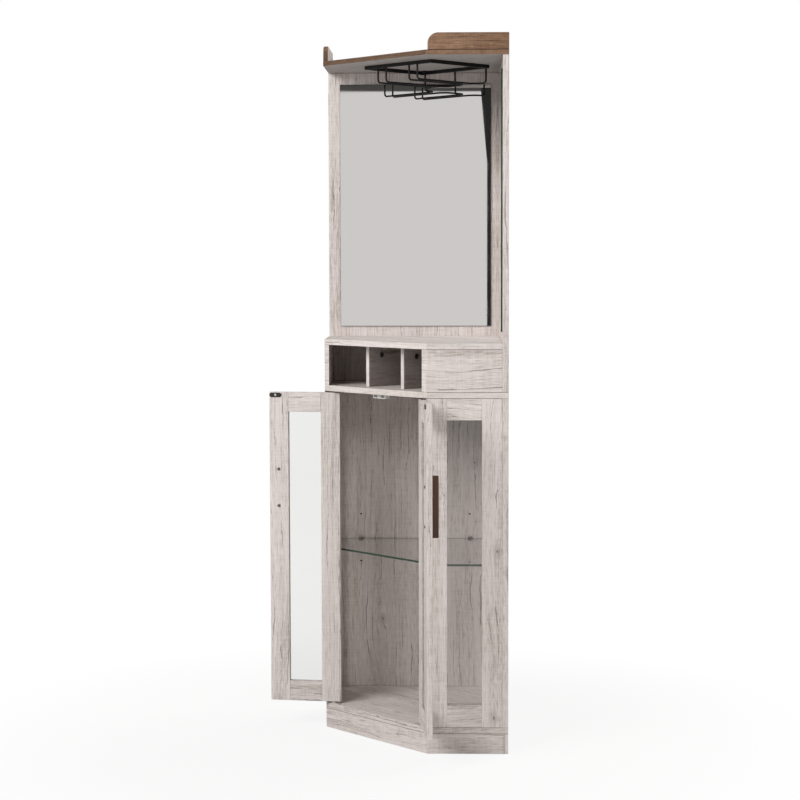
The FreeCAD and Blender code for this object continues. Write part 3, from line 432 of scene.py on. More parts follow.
# Material name, base colour, roughness and options of each even finish
EVEN_FINISHES = {
    # Rounded edges where two boards meet: darker than the print, partly the joint's own dark line and
    # partly painted shade in the groove between the boards.
    "oak_seam": ("grey_washed_oak_edge", "oak_seam", 0.7, {"grain": 3.0, "variation": 0.15}),
    "brown_seam": ("brown_oak_edge", "brown_seam", 0.7, {"grain": 3.0, "variation": 0.15}),
    # Raw particle board inside drilled holes, painted near black as the shade deep in the holes; rough.
    "drilling": ("drilled_particle_board", "drilling", 0.85, {"grain": 0.8, "variation": 0.2}),
    # Steel wire under black powder coat: soft highlights on a slightly pebbled skin.
    "rack": ("black_powder_coated_steel", "black_wire", 0.42, {"grain": 1.6, "relief": 5e-5, "ior": 1.35}),
    # Steel strip with a black finish: darker and a little glossier than paint.
    "black_metal": ("blackened_steel", "black_metal", 0.38, {"grain": 1.2, "variation": 0.15}),
    # Grey lacquered steel: satin, close to the boards in tone.
    "grey_plate": ("grey_lacquered_steel", "grey_plate", 0.45, {"grain": 1.2, "variation": 0.05}),
    # Bronzed steel: dull brown heads of the handle screws.
    "bronze": ("bronzed_steel", "bronze", 0.5, {"grain": 0.9, "variation": 0.15}),
    # Die-cast zinc: dull grey metal with a faint skin from the mould.
    "zinc": ("die_cast_zinc", "zinc", 0.42, {"metallic": 1.0, "grain": 0.9, "relief": 5e-5}),
    # Zinc-plated steel: bright, slightly uneven.
    "steel": ("zinc_plated_steel", "steel", 0.28, {"metallic": 1.0, "grain": 0.8, "variation": 0.08}),
    # Nickel-plated clip: satin metal.
    "clip": ("nickel_plated_clip", "clip", 0.45, {"metallic": 1.0, "grain": 1.0}),
    # Moulded ABS: off-white, satin.
    "plastic": ("moulded_abs", "plastic", 0.42, {"grain": 0.7, "variation": 0.03}),
    # Pressed ferrite magnet: grey and matt.
    "magnet": ("ferrite_magnet", "magnet", 0.6, {"grain": 0.6, "variation": 0.12}),
    # Turned nylon washer: milky and smooth.
    "nylon": ("nylon", "nylon", 0.38, {"grain": 0.8, "variation": 0.02}),
    # Beech dowel: pale brown with short fine flecks.
    "beech": ("beech_dowel", "beech", 0.62, {"grain": 1.1, "variation": 0.14}),
}
# Tone of the lighter copy of the print with painted light, of the darker copy with painted shade, and of
# the brown banding, against the usual tone
PAINTED_LIGHT_SHARE, PAINTED_SHADE_SHARE, BAND_SHARE = 1.15, 0.56, 0.58
FINISHES = {}


def make_finishes():
    """All materials of the cabinet."""
    c = bpy.context.scene.cabinet_colours
    oak = (c.oak_deep, c.oak_mid, c.oak_pale)
    brown = (c.brown_deep, c.brown_mid, c.brown_pale)
    # Melamine board printed as grey-washed rustic oak: satin, with streaks, cracks, knots and saw marks.
    # A lighter copy paints light on the middle shelf's top, and a darker copy paints shade on the dividers'
    # faces and under the top.
    for key, name, share in (("oak", "grey_washed_oak_melamine", 1.0),
                             ("light_oak", "light_grey_washed_oak_melamine", PAINTED_LIGHT_SHARE),
                             ("dull_oak", "dull_grey_washed_oak_melamine", PAINTED_SHADE_SHARE)):
        FINISHES[key] = material(name, wood, toned(oak, share), c.oak_crack, 0.52)
    # Melamine board printed as brown oak: the same satin, with stronger and darker streaks.
    FINISHES["brown"] = material("brown_oak_melamine", wood, brown, c.brown_crack, 0.50,
                                 size=0.8, knots=0.4)
    # The same brown oak as edge banding: darker, with short lines.
    FINISHES["brown_edge"] = material("brown_oak_edge_banding", wood, toned(brown, BAND_SHARE),
                                      c.brown_crack, 0.50, size=0.6, knots=0.0)
    # Handle wrapped in dark walnut foil: close, quiet lines along the bar.
    walnut = (c.walnut_deep, c.walnut, *toned([c.walnut], 1.25))
    FINISHES["walnut"] = material("dark_walnut_foil", wood, walnut, c.walnut_deep, 0.45,
                                  size=0.35, cracks=0.2, knots=0.0, saw=0.0)
    # Float glass: clear to look through, dark green at its ground edges.
    FINISHES["glass"] = material("clear_float_glass", pane_glass, c.glass)
    FINISHES["glass_edge"] = material("ground_glass_edge", ground_edge, c.glass_edge)
    # Silvered float glass: shows the room, a little darker and greener.
    FINISHES["mirror"] = material("silvered_mirror_glass", silvered, c.mirror)
    for key, (name, base, roughness, options) in EVEN_FINISHES.items():
        FINISHES[key] = material(name, even, getattr(c, base), roughness, **options)


# ---- pieces

# How far a corner may stand proud of a face on the outside. Angles of an edge that is rounded, of one
# that is merged away, and of one that is shaded sharp.
SLACK = 0.02 * MM
EDGE_ANGLE, FLAT_ANGLE, SHARP_ANGLE = (math.radians(angle) for angle in (20, 0.5, 40))
# Least cosine between a face and a direction that it faces, from partly to exactly
PARTLY, BROADLY, MAINLY, NEARLY, EXACTLY = 0.3, 0.7, 0.9, 0.99, 0.999
# Metres by which the print is shifted on the far side of a board, on its edges, and from edge to edge
FAR_SHIFT, EDGE_SHIFT, TURN_SHIFT = Vector((0.31, 0.47)), Vector((0.73, 1.19)), (0.05, 0.11)
# Metres between the places that the boards take in the print, and the reach of the print
PRINT_STEP, PRINT_REACH = (0.618034, 0.414214), (7.0, 5.0)
# How far outside an edge a neighbour counts, and how far off its surface is looked for
JOINT_REACH, JOINT_SEARCH = 2 * MM, 4 * MM


def merged(name):
    """A bmesh copy of a CAD node whose loose triangles are merged into whole faces."""
    bm = bmesh.new()
    bm.from_mesh(NODES[name].data)
    bmesh.ops.remove_doubles(bm, verts=bm.verts, dist=WELD)
    bmesh.ops.dissolve_limit(bm, angle_limit=FLAT_ANGLE, verts=bm.verts, edges=bm.edges)
    return bm


def islands(bm):
    """Lists of faces that hang together, one for each separate part of a piece."""
    seen, groups = set(), []
    for start in bm.faces:
        if start in seen:
            continue
        seen.add(start)
        group = [start]
        for face in group:
            for near in [near for edge in face.edges for near in edge.link_faces]:
                if near not in seen:
                    seen.add(near)
                    group.append(near)
        groups.append(group)
    return groups


def hull_edges(bm):
    """Edges between two faces that both lie on the outside of their part."""
    bm.normal_update()
    outer = set()
    for group in islands(bm):
        corners = [vert.co for vert in {vert for face in group for vert in face.verts}]
        for face in group:
            level = face.normal.dot(face.verts[0].co) + SLACK
            if all(face.normal.dot(corner) < level for corner in corners):
                outer.add(face)
    return [edge for edge in bm.edges if len(edge.link_faces) == 2 and edge.calc_face_angle(0) > EDGE_ANGLE
            and all(face in outer for face in edge.link_faces)]


def ease(bm, width, segments=2, edges=None):
    """Rounds the outer edges of a piece."""
    bmesh.ops.bevel(bm, geom=hull_edges(bm) if edges is None else edges, offset=width, offset_type="OFFSET",
                    segments=segments, profile=0.5, affect="EDGES", material=-1, clamp_overlap=True)


def grain_uv(bm, grain, thickness, offset):
    """UV map in metres: U runs along the grain on the broad faces and along each edge on the others."""
    layer = bm.loops.layers.uv.new("grain")
    across = thickness.cross(grain).normalized()
    for face in bm.faces:
        side = face.normal.dot(thickness)
        if abs(side) > BROADLY:
            u_axis, v_axis = grain, across
            shift = offset + FAR_SHIFT * (1 if side > 0 else 0)
        else:
            u_axis, v_axis = thickness.cross(face.normal).normalized(), thickness
            turn = TURN_SHIFT[0] * round(2 * face.normal.x) + TURN_SHIFT[1] * round(2 * face.normal.y)
            shift = offset + EDGE_SHIFT + Vector((0, turn))
        for loop in face.loops:
            loop[layer].uv = (loop.vert.co.dot(u_axis) + shift.x, loop.vert.co.dot(v_axis) + shift.y)


def own_offset(name):
    """A place of its own in the wood print for each board."""
    number = sum(place * ord(letter) for place, letter in enumerate(name, 3))
    return Vector(number * step % reach for step, reach in zip(PRINT_STEP, PRINT_REACH))


def meshed(name, bm):
    """A new mesh from a bmesh, which is freed."""
    mesh = bpy.data.meshes.new(name)
    bm.to_mesh(mesh)
    bm.free()
    return mesh


def placed(name, data):
    """A new object in the scene."""
    made = bpy.data.objects.new(name, data)
    bpy.context.scene.collection.objects.link(made)
    return made


def finish_piece(bm, name, finishes, node):
    """Makes a bmesh a piece that stands for a CAD node and rides on its body."""
    for face in bm.faces:
        face.smooth = True
    mesh = meshed(name, bm)
    mesh.set_sharp_from_angle(angle=SHARP_ANGLE)
    for finish in finishes:
        mesh.materials.append(FINISHES[finish])
    piece = placed(name, mesh)
    piece.modifiers.new("flat_faces", "WEIGHTED_NORMAL").keep_sharp = True
    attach(piece, NODES[node]["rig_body"])
    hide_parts(node)
    return piece


SEAMS = {"pale_oak": "oak_seam", "brown_oak": "brown_seam"}
BOARD_NAMES = ("board", "plinth", "panel", "stile", "rail", "middle_shelf", "bay_")
FRAME_NAMES = ("stile", "rails")
NEIGHBOURS = {}


def find_neighbours():
    """Search trees of every board, so that the joints between boards can be found."""
    for name, node in NODES.items():
        if any(part in name for part in BOARD_NAMES):
            bm = merged(name)
            NEIGHBOURS[name] = (node["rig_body"], BVHTree.FromBMesh(bm))
            bm.free()


def in_frame(name):
    """True for a member of a framed side or door."""
    return any(part in name for part in FRAME_NAMES)


def meets_board(node, place):
    """True where a place lies inside another board. The flush joints within a frame don't count."""
    body = NODES[node]["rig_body"]
    for name, (other_body, tree) in NEIGHBOURS.items():
        if name == node or other_body != body or (in_frame(name) and in_frame(node)):
            continue
        surface, normal, _, _ = tree.find_nearest(place, JOINT_SEARCH)
        if surface is not None and (place - surface).dot(normal) < 0:
            return True
    return False


def board(node, grain, thickness, slot="pale_oak", finishes=("oak",), sort=None):
    """An eased board in place of a CAD board. sort gives each face the number of its finish."""
    bm = merged(node)
    bm.normal_update()
    flats = []
    for face in bm.faces:
        if all(face.normal.dot(flat) < EXACTLY for flat in flats):
            flats.append(face.normal.copy())
    ease(bm, bpy.context.scene.cabinet_sizes.board_ease)
    bm.normal_update()
    grain_uv(bm, grain.normalized(), thickness.normalized(), own_offset(node))
    for face in bm.faces:
        face.material_index = sort(face) if sort else 0
        # Rounded edges that meet another board take the darker seam finish: partly the joint's own line,
        # partly painted shade.
        if all(face.normal.dot(flat) < NEARLY for flat in flats):
            near = [flat for flat in flats if face.normal.dot(flat) > PARTLY]
            middle = face.calc_center_median()
            if any(meets_board(node, middle + flat * JOINT_REACH) for flat in near):
                face.material_index = len(finishes)
    return finish_piece(bm, f"{node}_eased", (*finishes, SEAMS[slot]), node)


def fitting(node, finishes, width, sort=None, ending="eased"):
    """An eased fitting in place of a CAD fitting. sort gives each face the number of its finish."""
    bm = merged(node)
    ease(bm, width)
    bm.normal_update()
    if sort:
        for face in bm.faces:
            face.material_index = sort(face)
    return finish_piece(bm, f"{node}_{ending}", finishes, node)


def pane(node, normal, finish="glass"):
    """Pane with ground edges in place of a CAD pane."""
    return fitting(node, (finish, "glass_edge"), bpy.context.scene.cabinet_sizes.glass_ease,
                   lambda face: int(abs(face.normal.dot(normal)) <= NEARLY), "pane")


def coat(node, finish):
    """Gives a CAD node that stays as it is its material."""
    data = NODES[node].data
    data.materials.clear()
    data.materials.append(FINISHES[finish])


def opened():
    """Matrix that turns a right door piece from closed to its place at rest."""
    pivot = Vector((PIVOT_X, 0, 0))
    return Matrix.Translation(pivot) @ Matrix.Rotation(OPEN_ANGLE, 4, "Z") @ Matrix.Translation(-pivot)


def quarter_turned(direction, sign=1):
    """A level direction turned a quarter anticlockwise seen from above, or clockwise for sign -1."""
    return Vector((-sign * direction.y, sign * direction.x, 0))


def mirror_over(bm):
    """Turns a piece of the right half into its twin of the left half."""
    bmesh.ops.scale(bm, vec=(-1, 1, 1), verts=bm.verts)
    bmesh.ops.reverse_faces(bm, faces=bm.faces)


def towards(direction, start):
    """Matrix that puts local +Z along a direction from a start point."""
    return Matrix.Translation(start) @ direction.to_track_quat("Z", "Y").to_matrix().to_4x4()


# Faces round a wire, degrees and least number of the steps of its bends, and height of a weld bead
# against its width
WIRE_SIDES, BEND_STEP, LEAST_STEPS, BEAD_HEIGHT = 14, 12, 4, 0.55


def extruded(bm, edges, step):
    """Extrudes a ring of edges by a step, and gives the new ring's corners and edges."""
    grown = bmesh.ops.extrude_edge_only(bm, edges=edges)["geom"]
    verts = [item for item in grown if isinstance(item, bmesh.types.BMVert)]
    bmesh.ops.translate(bm, vec=step, verts=verts)
    return verts, [item for item in grown if isinstance(item, bmesh.types.BMEdge)
                   and all(vert in set(verts) for vert in item.verts)]


def bent_rod(bm, points, radii, radius):
    """Round wire through points, turned with its own radius at each inner point, with flat ends."""
    here = points[0]
    ring = bmesh.ops.create_circle(bm, radius=radius, segments=WIRE_SIDES,
                                   matrix=towards(points[1] - here, here))["verts"]
    first = edges = list({edge for vert in ring for edge in vert.link_edges})
    for start, corner, end, bend in zip(points, points[1:], points[2:], radii):
        heading, ahead = (corner - start).normalized(), (end - corner).normalized()
        turn = heading.angle(ahead)
        trim = bend * math.tan(turn / 2)
        _, edges = extruded(bm, edges, corner - heading * trim - here)
        inward = (ahead - heading * heading.dot(ahead)).normalized()
        spun = bmesh.ops.spin(bm, geom=edges, cent=corner - heading * trim + inward * bend,
                              axis=heading.cross(ahead), angle=turn, use_duplicate=False,
                              steps=max(LEAST_STEPS, round(math.degrees(turn) / BEND_STEP)))
        edges = [item for item in spun["geom_last"] if isinstance(item, bmesh.types.BMEdge)]
        here = corner + ahead * trim
    _, edges = extruded(bm, edges, points[-1] - here)
    bmesh.ops.holes_fill(bm, edges=first + edges, sides=WIRE_SIDES)


def bead(bm, place, radius):
    """Flattened weld bead round the end of a wire."""
    squash = Matrix.Translation(place) @ Matrix.Diagonal((1, 1, BEAD_HEIGHT, 1))
    bmesh.ops.create_uvsphere(bm, u_segments=WIRE_SIDES, v_segments=8, radius=radius, matrix=squash)


def lathe_down(bm, edges, rings):
    """Grows a round rim down local Z through rings of radius and depth below the last, and closes it."""
    for radius, depth in rings:
        verts, edges = extruded(bm, edges, (0, 0, -depth))
        share = radius / max(vert.co.xy.length for vert in verts)
        bmesh.ops.scale(bm, vec=(share, share, 1), verts=verts)
    bmesh.ops.holes_fill(bm, edges=edges, sides=len(edges))


# Cross recess, as shares of the face's radius: lines of the grid that it is cut from, how far the arms'
# faces lie from the middle along and across, and slope of the walls
CROSS_LINES, CROSS_SLOPE = (-1.0, -0.62, -0.15, 0.15, 0.62, 1.0), 0.03
ARM_ALONG, ARM_ACROSS = 0.5, 0.1
# Wood screw and machine screw: radius of the face, depth of the recess, and radius of each ring with
# its depth below the one above. Height of the machine screw's head over its seat, and its shank's radius.
SCREW_FACE, SCREW_RECESS = 2.85 * MM, 0.9 * MM
SCREW_RINGS = ((3.0 * MM, 0.12 * MM), (1.5 * MM, 1.28 * MM), (1.5 * MM, 8.1 * MM), (0.2 * MM, 1.5 * MM))
HEAD_FACE, HEAD_RECESS, HEAD_HEIGHT, SHANK_RADIUS = 2.5 * MM, 1.2 * MM, 2.4 * MM, 2.0 * MM
HEAD_RINGS = ((3.3 * MM, 0.35 * MM), (3.85 * MM, 0.55 * MM), (4.0 * MM, 0.7 * MM), (4.0 * MM, 0.8 * MM),
              (SHANK_RADIUS, 0.0))


def cross_head(bm, matrix, face_radius, rings, recess, cross=CROSS_LINES, finish=0, inside=None):
    """Screw or cam with a cross recess. Its face is at local Z = 0, and rings shape what lies below."""
    part = bmesh.new()
    cells = len(cross) - 1
    grid = bmesh.ops.create_grid(part, x_segments=cells, y_segments=cells, size=1.0)["verts"]
    for vert in grid:
        column, row = (round((value + 1) * cells / 2) for value in vert.co.xy)
        if column in (0, cells) or row in (0, cells):
            vert.co.xy = vert.co.xy.normalized() * face_radius
        else:
            vert.co.xy = (cross[column] * face_radius, cross[row] * face_radius)
    arms = []
    for face in part.faces:
        near, far = sorted(abs(value) / face_radius for value in face.calc_center_median().xy)
        if far < ARM_ALONG and near < ARM_ACROSS:
            arms.append(face)
    part.normal_update()
    if part.faces[:][0].normal.z < 0:
        bmesh.ops.reverse_faces(part, faces=part.faces)
    bmesh.ops.inset_region(part, faces=arms, thickness=CROSS_SLOPE * face_radius, depth=-recess,
                           use_even_offset=True)
    sunk = set(arms)
    rim = [edge for edge in part.edges if edge.is_boundary]
    lathe_down(part, rim, rings)
    bmesh.ops.recalc_face_normals(part, faces=part.faces)
    # Faces of the recess may take a finish of their own; the cams use it to paint the shade in the recess.
    for face in part.faces:
        face.material_index = inside if inside is not None and face in sunk else finish
    bmesh.ops.transform(part, matrix=matrix, verts=part.verts)
    mesh = meshed("part", part)
    bm.from_mesh(mesh)
    bpy.data.meshes.remove(mesh)


def countersunk(bm, seat, direction):
    """Small wood screw, its head flush at the seat and its shank along the direction."""
    cross_head(bm, towards(-direction, seat), SCREW_FACE, SCREW_RINGS, SCREW_RECESS)


def pan_head(bm, seat, direction, shank, finish=0):
    """Machine screw whose rounded head stands on the seat, and its shank along the direction."""
    top = Vector(seat) - direction * HEAD_HEIGHT
    cross_head(bm, towards(-direction, top), HEAD_FACE, (*HEAD_RINGS, (SHANK_RADIUS, shank)),
               HEAD_RECESS, finish=finish)


# ---- stage

# Large rectangular lights: place, target, width and height in metres, and the setting of their power
SOFT_LIGHTS = {
    "front_softbox": ((-0.15, -4.19, 3.47), (0, 0.1, 0.9), (3.2, 2.5), "key_power"),
    "side_softbox": ((4.34, -0.04, 1.15), (0, 0.1, 0.7), (2.0, 3.1), "side_power"),
    "rear_softbox": ((0.5, 2.7, 3.6), (0, 0.3, 0.9), (2.4, 1.8), "rear_power"),
}
# Floor: half its side, and the strength at which it clips to white. Away from the cabinet it turns white
# to the camera and into the backdrop to mirrors: from and to which distance, and how much from the start.
FLOOR_HALF, WHITE_FLOOR = 9.0, 1.02
WHITE_FADE, BACKDROP_FADE = (0.5, 1.6, 0.85), (3.0, 9.0, 0.0)
# Rise of a view line at which the mirrors show the dark ceiling, and over which the gap widens
CEILING_RISE, LEAN_RISE = (0.0872, 0.0880), (0.050, 0.088)
# Azimuths, in radians, of the dark gap that the mirrors show beside the backdrop
GAP_MIDDLE, GAP_HALF, GAP_LEAN = -0.7348, 0.0362, 0.0034
# Camera: place in metres, shift in widths of the frame, width of its sensor, and turn, tilt and roll
CAMERA_PLACE, CAMERA_SHIFT, SENSOR_WIDTH = (3.5102, -3.2059, 1.2296), (-0.02248, -0.01103), 36.0
CAMERA_TURN, CAMERA_TILT, CAMERA_ROLL = (math.radians(angle) for angle in (46.3235, 90 - 4.039, -0.103))


def seen_rays(tree):
    """The light path's outputs, and 1 for rays from the camera, also through glass."""
    light = add(tree, "LightPath").outputs
    return light, add(tree, "Math", {0: light["Is Camera Ray"], 1: light["Is Transmission Ray"]},
                      operation="MAXIMUM")


def floor_surface(tree, stage):
    """Matt under the cabinet for its shadow, and turning white or into the backdrop away from it."""
    surface = add(tree, "BsdfDiffuse", {"Color": rgba(stage.floor)})
    light, seen = seen_rays(tree)
    place = add(tree, "TexCoord").outputs["Object"]
    distance = add(tree, "VectorMath", {0: place}, operation="LENGTH").outputs[1]
    white = add(tree, "Emission", {"Color": (1, 1, 1, 1), "Strength": WHITE_FLOOR})
    backdrop = add(tree, "Emission", {"Color": rgba(stage.room), "Strength": 1.0})
    for ray, (start, end, least), look in ((light["Is Glossy Ray"], BACKDROP_FADE, backdrop),
                                           (seen, WHITE_FADE, white)):
        fade = add(tree, "MapRange", {"Value": distance, FROM: (start, end), "To Min": least}, **SMOOTH)
        share = add(tree, "Math", {0: ray, 1: fade}, operation="MULTIPLY")
        surface = add(tree, "MixShader", {0: share, 1: surface, 2: look})
    return surface


def make_floor(stage):
    """Studio floor that shows white to the camera and still takes the cabinet's shadow."""
    bm = bmesh.new()
    bmesh.ops.create_grid(bm, x_segments=1, y_segments=1, size=FLOOR_HALF)
    mesh = meshed("studio_floor", bm)
    mesh.materials.append(material("matt_studio_floor", floor_surface, stage))
    placed("studio_floor", mesh)


def make_world(stage):
    """White to the camera, a grey studio with a dark ceiling to mirrors, and even light from all round."""
    world = bpy.data.worlds.new("white_studio")
    bpy.context.scene.world = world
    world.use_nodes = True
    tree = world.node_tree
    tree.nodes.clear()
    light, seen = seen_rays(tree)
    direction = add(tree, "SeparateXYZ", {0: add(tree, "TexCoord").outputs["Generated"]}).outputs
    ceiling = add(tree, "MapRange", {"Value": direction[2], FROM: CEILING_RISE})
    # A dark gap stands beside the backdrop, and it widens towards the ceiling.
    lean = add(tree, "MapRange", {"Value": direction[2], FROM: LEAN_RISE, "To Max": GAP_LEAN})
    azimuth = add(tree, "Math", {0: direction[1], 1: direction[0]}, operation="ARCTAN2")
    azimuth = add(tree, "Math", {0: azimuth, 1: lean}, operation="ADD")
    gap = add(tree, "Math", {0: azimuth, 1: GAP_MIDDLE, 2: GAP_HALF}, operation="COMPARE")
    room = rgba(stage.room)
    for share, shade in ((ceiling, stage.ceiling), (gap, stage.gap)):
        room = add(tree, "Mix", {"Factor": share, "A": room, "B": rgba(shade)}, data_type="RGBA").outputs[2]
    even_light = add(tree, "Background", {"Color": (1, 1, 1, 1), "Strength": stage.ambient})
    mirrored_room = add(tree, "Background", {"Color": room, "Strength": 1.0})
    white = add(tree, "Background", {"Color": (1, 1, 1, 1), "Strength": 1.0})
    mixed = add(tree, "MixShader", {0: light["Is Glossy Ray"], 1: even_light, 2: mirrored_room})
    mixed = add(tree, "MixShader", {0: seen, 1: mixed, 2: white})
    add(tree, "OutputWorld", {"Surface": mixed})


def soft_light(name, place, target, size, watts):
    """Large rectangular light turned to a target."""
    data = bpy.data.lights.new(name, "AREA")
    data.shape = "RECTANGLE"
    data.size, data.size_y = size
    data.energy = watts
    lamp = placed(name, data)
    lamp.location = place
    lamp.rotation_euler = (Vector(target) - Vector(place)).to_track_quat("-Z", "Y").to_euler()


def make_camera(lens):
    """Camera of the photograph: far off, a little above the middle, turned to the right of the front."""
    data = bpy.data.cameras.new("photo_camera")
    data.lens = lens
    data.sensor_width = SENSOR_WIDTH
    data.shift_x, data.shift_y = CAMERA_SHIFT
    camera = placed("photo_camera", data)
    turn = Matrix.Rotation(CAMERA_TURN, 4, "Z") @ Matrix.Rotation(CAMERA_TILT, 4, "X")
    camera.matrix_world = Matrix.Translation(CAMERA_PLACE) @ turn @ Matrix.Rotation(CAMERA_ROLL, 4, "Z")
    bpy.context.scene.camera = camera


# ---- operators

# Rounding of the edges of cut metal, washers, and moulded or bent parts
METAL_EASE, WASHER_EASE, MOULDED_EASE = 0.4 * MM, 0.3 * MM, 1.0 * MM
# Handle bar and screws of the closed right door, measured from the middle of the front
HANDLE_X, HANDLE_Y = 25.5 * MM, -16 * MM
HANDLE_WIDTH, HANDLE_DEPTH = 12 * MM, 17 * MM
HANDLE_SCREW_Y, HANDLE_SCREW_LENGTH = 7.5 * MM, 26 * MM
HANDLE_SCREW_HEIGHTS = (586 * MM, 682 * MM)
STRIKE_SCREW = Vector((18, 9.1, 875.5)) * MM
CATCH_SCREW = Vector((0, 17.6, 875)) * MM
# Hinge screws: places beside the pivot, and heights on the door's leaves and on the cabinet's plates
HINGE_SCREWS = (11 * MM, -18 * MM)
LEAF_LOW, LEAF_HIGH = 71 * MM, 883 * MM
PLATE_LOW, PLATE_HIGH = 68 * MM, 884 * MM
# Cam locks in the right faces of the dividers
CAM_PLACES = (Vector((71, 74.5, 982)) * MM, Vector((-59, 74.5, 982)) * MM)
CAM_FACE, CAM_RIM, CAM_RIM_DEPTH, CAM_LENGTH, CAM_RECESS = 7 * MM, 7.4 * MM, 0.4 * MM, 7 * MM, 2 * MM
CAM_CROSS = (-1.0, -0.62, -0.2, 0.2, 0.62, 1.0)
# Rack: half the frame's bar, height of the wires, their bends, and places across the rack
BAR_HALF = 2.25 * MM
WIRE_HEIGHT = 1677 * MM
WIRE_BEND, WIRE_TURN = 8 * MM, 26 * MM
CENTRE_WIRE_X, OUTER_WIRE_X, OUTER_WIRE_END = 42.5 * MM, 72.5 * MM, 112 * MM
RACK_SCREW_X, RACK_SCREW_INSET, RACK_SCREW_HEIGHT = 108.75 * MM, 9.25 * MM, 1720 * MM
RACK_SCREW_LENGTH = 8 * MM
# Peg holes lie further from the ends of the lower back panels, and their faces are smaller than this.
HOLE_MARGIN, HOLE_AREA = 50 * MM, 40 * MM * MM


def in_hole(face):
    """1 for the wall or the end of a drilled peg hole in a lower back panel, else 0."""
    low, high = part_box("right_lower_back_panel")
    away_from_ends = low.z + HOLE_MARGIN < face.calc_center_median().z < high.z - HOLE_MARGIN
    return int(away_from_ends and face.calc_area() < HOLE_AREA)


def brown_faces(pale, banded):
    """Sort of a brown board: faces towards pale get the second finish, and towards banded the third."""
    return lambda face: (1 if face.normal.dot(pale) > BROADLY else
                         2 if face.normal.dot(banded) > MAINLY else 0)


class CABINET_OT_flat_boards(bpy.types.Operator):
    """Plinth, flat boards, back panels and the low rails on top."""
    bl_idname = "cabinet.flat_boards"
    bl_label = "Boards and panels"

    def execute(self, context):
        board("plinth_front", ACROSS, INWARDS)
        board("base_board", ACROSS, UP)
        board("deck_board", ACROSS, UP)
        # The middle shelf's top faces take a lighter copy of the print: painted light from above.
        board("middle_shelf", ACROSS, UP, finishes=("oak", "light_oak"),
              sort=lambda face: int(face.normal.z > BROADLY))
        # The top is brown above and on its edges, and pale below, where a darker copy of the print paints
        # shade.
        board("top_board", ACROSS, UP, "brown_oak", ("brown", "dull_oak", "brown_edge"),
              brown_faces(-UP, FORWARDS))
        for side, along in WALLS.items():
            outwards = quarter_turned(along, SIDES[side])
            board(f"{side}_plinth_back", along, outwards)
            # The walls and ends of the peg holes take painted shade.
            board(f"{side}_lower_back_panel", UP, outwards, finishes=("oak", "drilling"), sort=in_hole)
            board(f"{side}_upper_back_panel", UP, outwards)
            board(f"{side}_plinth_side", outwards, along)
            # The rails are brown outside and on their edges, and pale inside.
            board(f"{side}_top_rail", outwards, along, "brown_oak", ("brown", "oak", "brown_edge"),
                  brown_faces(-along, -outwards))
        return {"FINISHED"}


class CABINET_OT_framed_sides(bpy.types.Operator):
    """Stiles, rails and panes of the two short sides."""
    bl_idname = "cabinet.framed_sides"
    bl_label = "Framed sides"

    def execute(self, context):
        for side, normal in WALLS.items():
            for stile in ("rear", "front"):
                board(f"{side}_side_{stile}_stile", UP, normal)
            board(f"{side}_side_rails", quarter_turned(normal), normal)
            pane(f"{side}_side_glass", normal)
        return {"FINISHED"}


class CABINET_OT_framed_doors(bpy.types.Operator):
    """Stiles, rails and panes of the two doors."""
    bl_idname = "cabinet.framed_doors"
    bl_label = "Framed doors"

    def execute(self, context):
        turn = Matrix.Rotation(OPEN_ANGLE, 3, "Z")
        for side, sign in SIDES.items():
            level, normal = turn @ ACROSS, turn @ INWARDS
            level.x, normal.x = sign * level.x, sign * normal.x
            for stile in ("meeting", "hinge"):
                board(f"{side}_door_{stile}_stile", UP, normal)
            board(f"{side}_door_rails", level, normal)
            pane(f"{side}_door_glass", normal)
        return {"FINISHED"}


class CABINET_OT_mirrors(bpy.types.Operator):
    """The two mirrors of the display niche."""
    bl_idname = "cabinet.mirrors"
    bl_label = "Mirrors"

    def execute(self, context):
        for side, sign in SIDES.items():
            normal = Vector((-sign * HALF, -HALF, 0))
            pane(f"{side}_mirror", normal, "mirror")
        return {"FINISHED"}


class CABINET_OT_handles(bpy.types.Operator):
    """Bar handles of the doors."""
    bl_idname = "cabinet.handles"
    bl_label = "Handles"

    def execute(self, context):
        low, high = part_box("right_door_handle")
        middle = Vector((HANDLE_X, HANDLE_Y, (low.z + high.z) / 2))
        size = (HANDLE_WIDTH, HANDLE_DEPTH, high.z - low.z)
        shape = Matrix.Translation(middle) @ Matrix.Diagonal((*size, 1))
        for side in SIDES:
            bm = bmesh.new()
            bmesh.ops.create_cube(bm, size=1.0, matrix=shape)
            outer = [edge for edge in bm.edges if sum(v.co.y < middle.y for v in edge.verts)]
            ease(bm, context.scene.cabinet_sizes.handle_ease, 4, outer)
            bm.normal_update()
            grain_uv(bm, UP, INWARDS, own_offset(f"{side}_handle"))
            bmesh.ops.transform(bm, matrix=opened(), verts=bm.verts)
            if side == "left":
                mirror_over(bm)
            node = f"{side}_door_handle"
            finish_piece(bm, f"{node}_bar", ("walnut",), node)
        return {"FINISHED"}


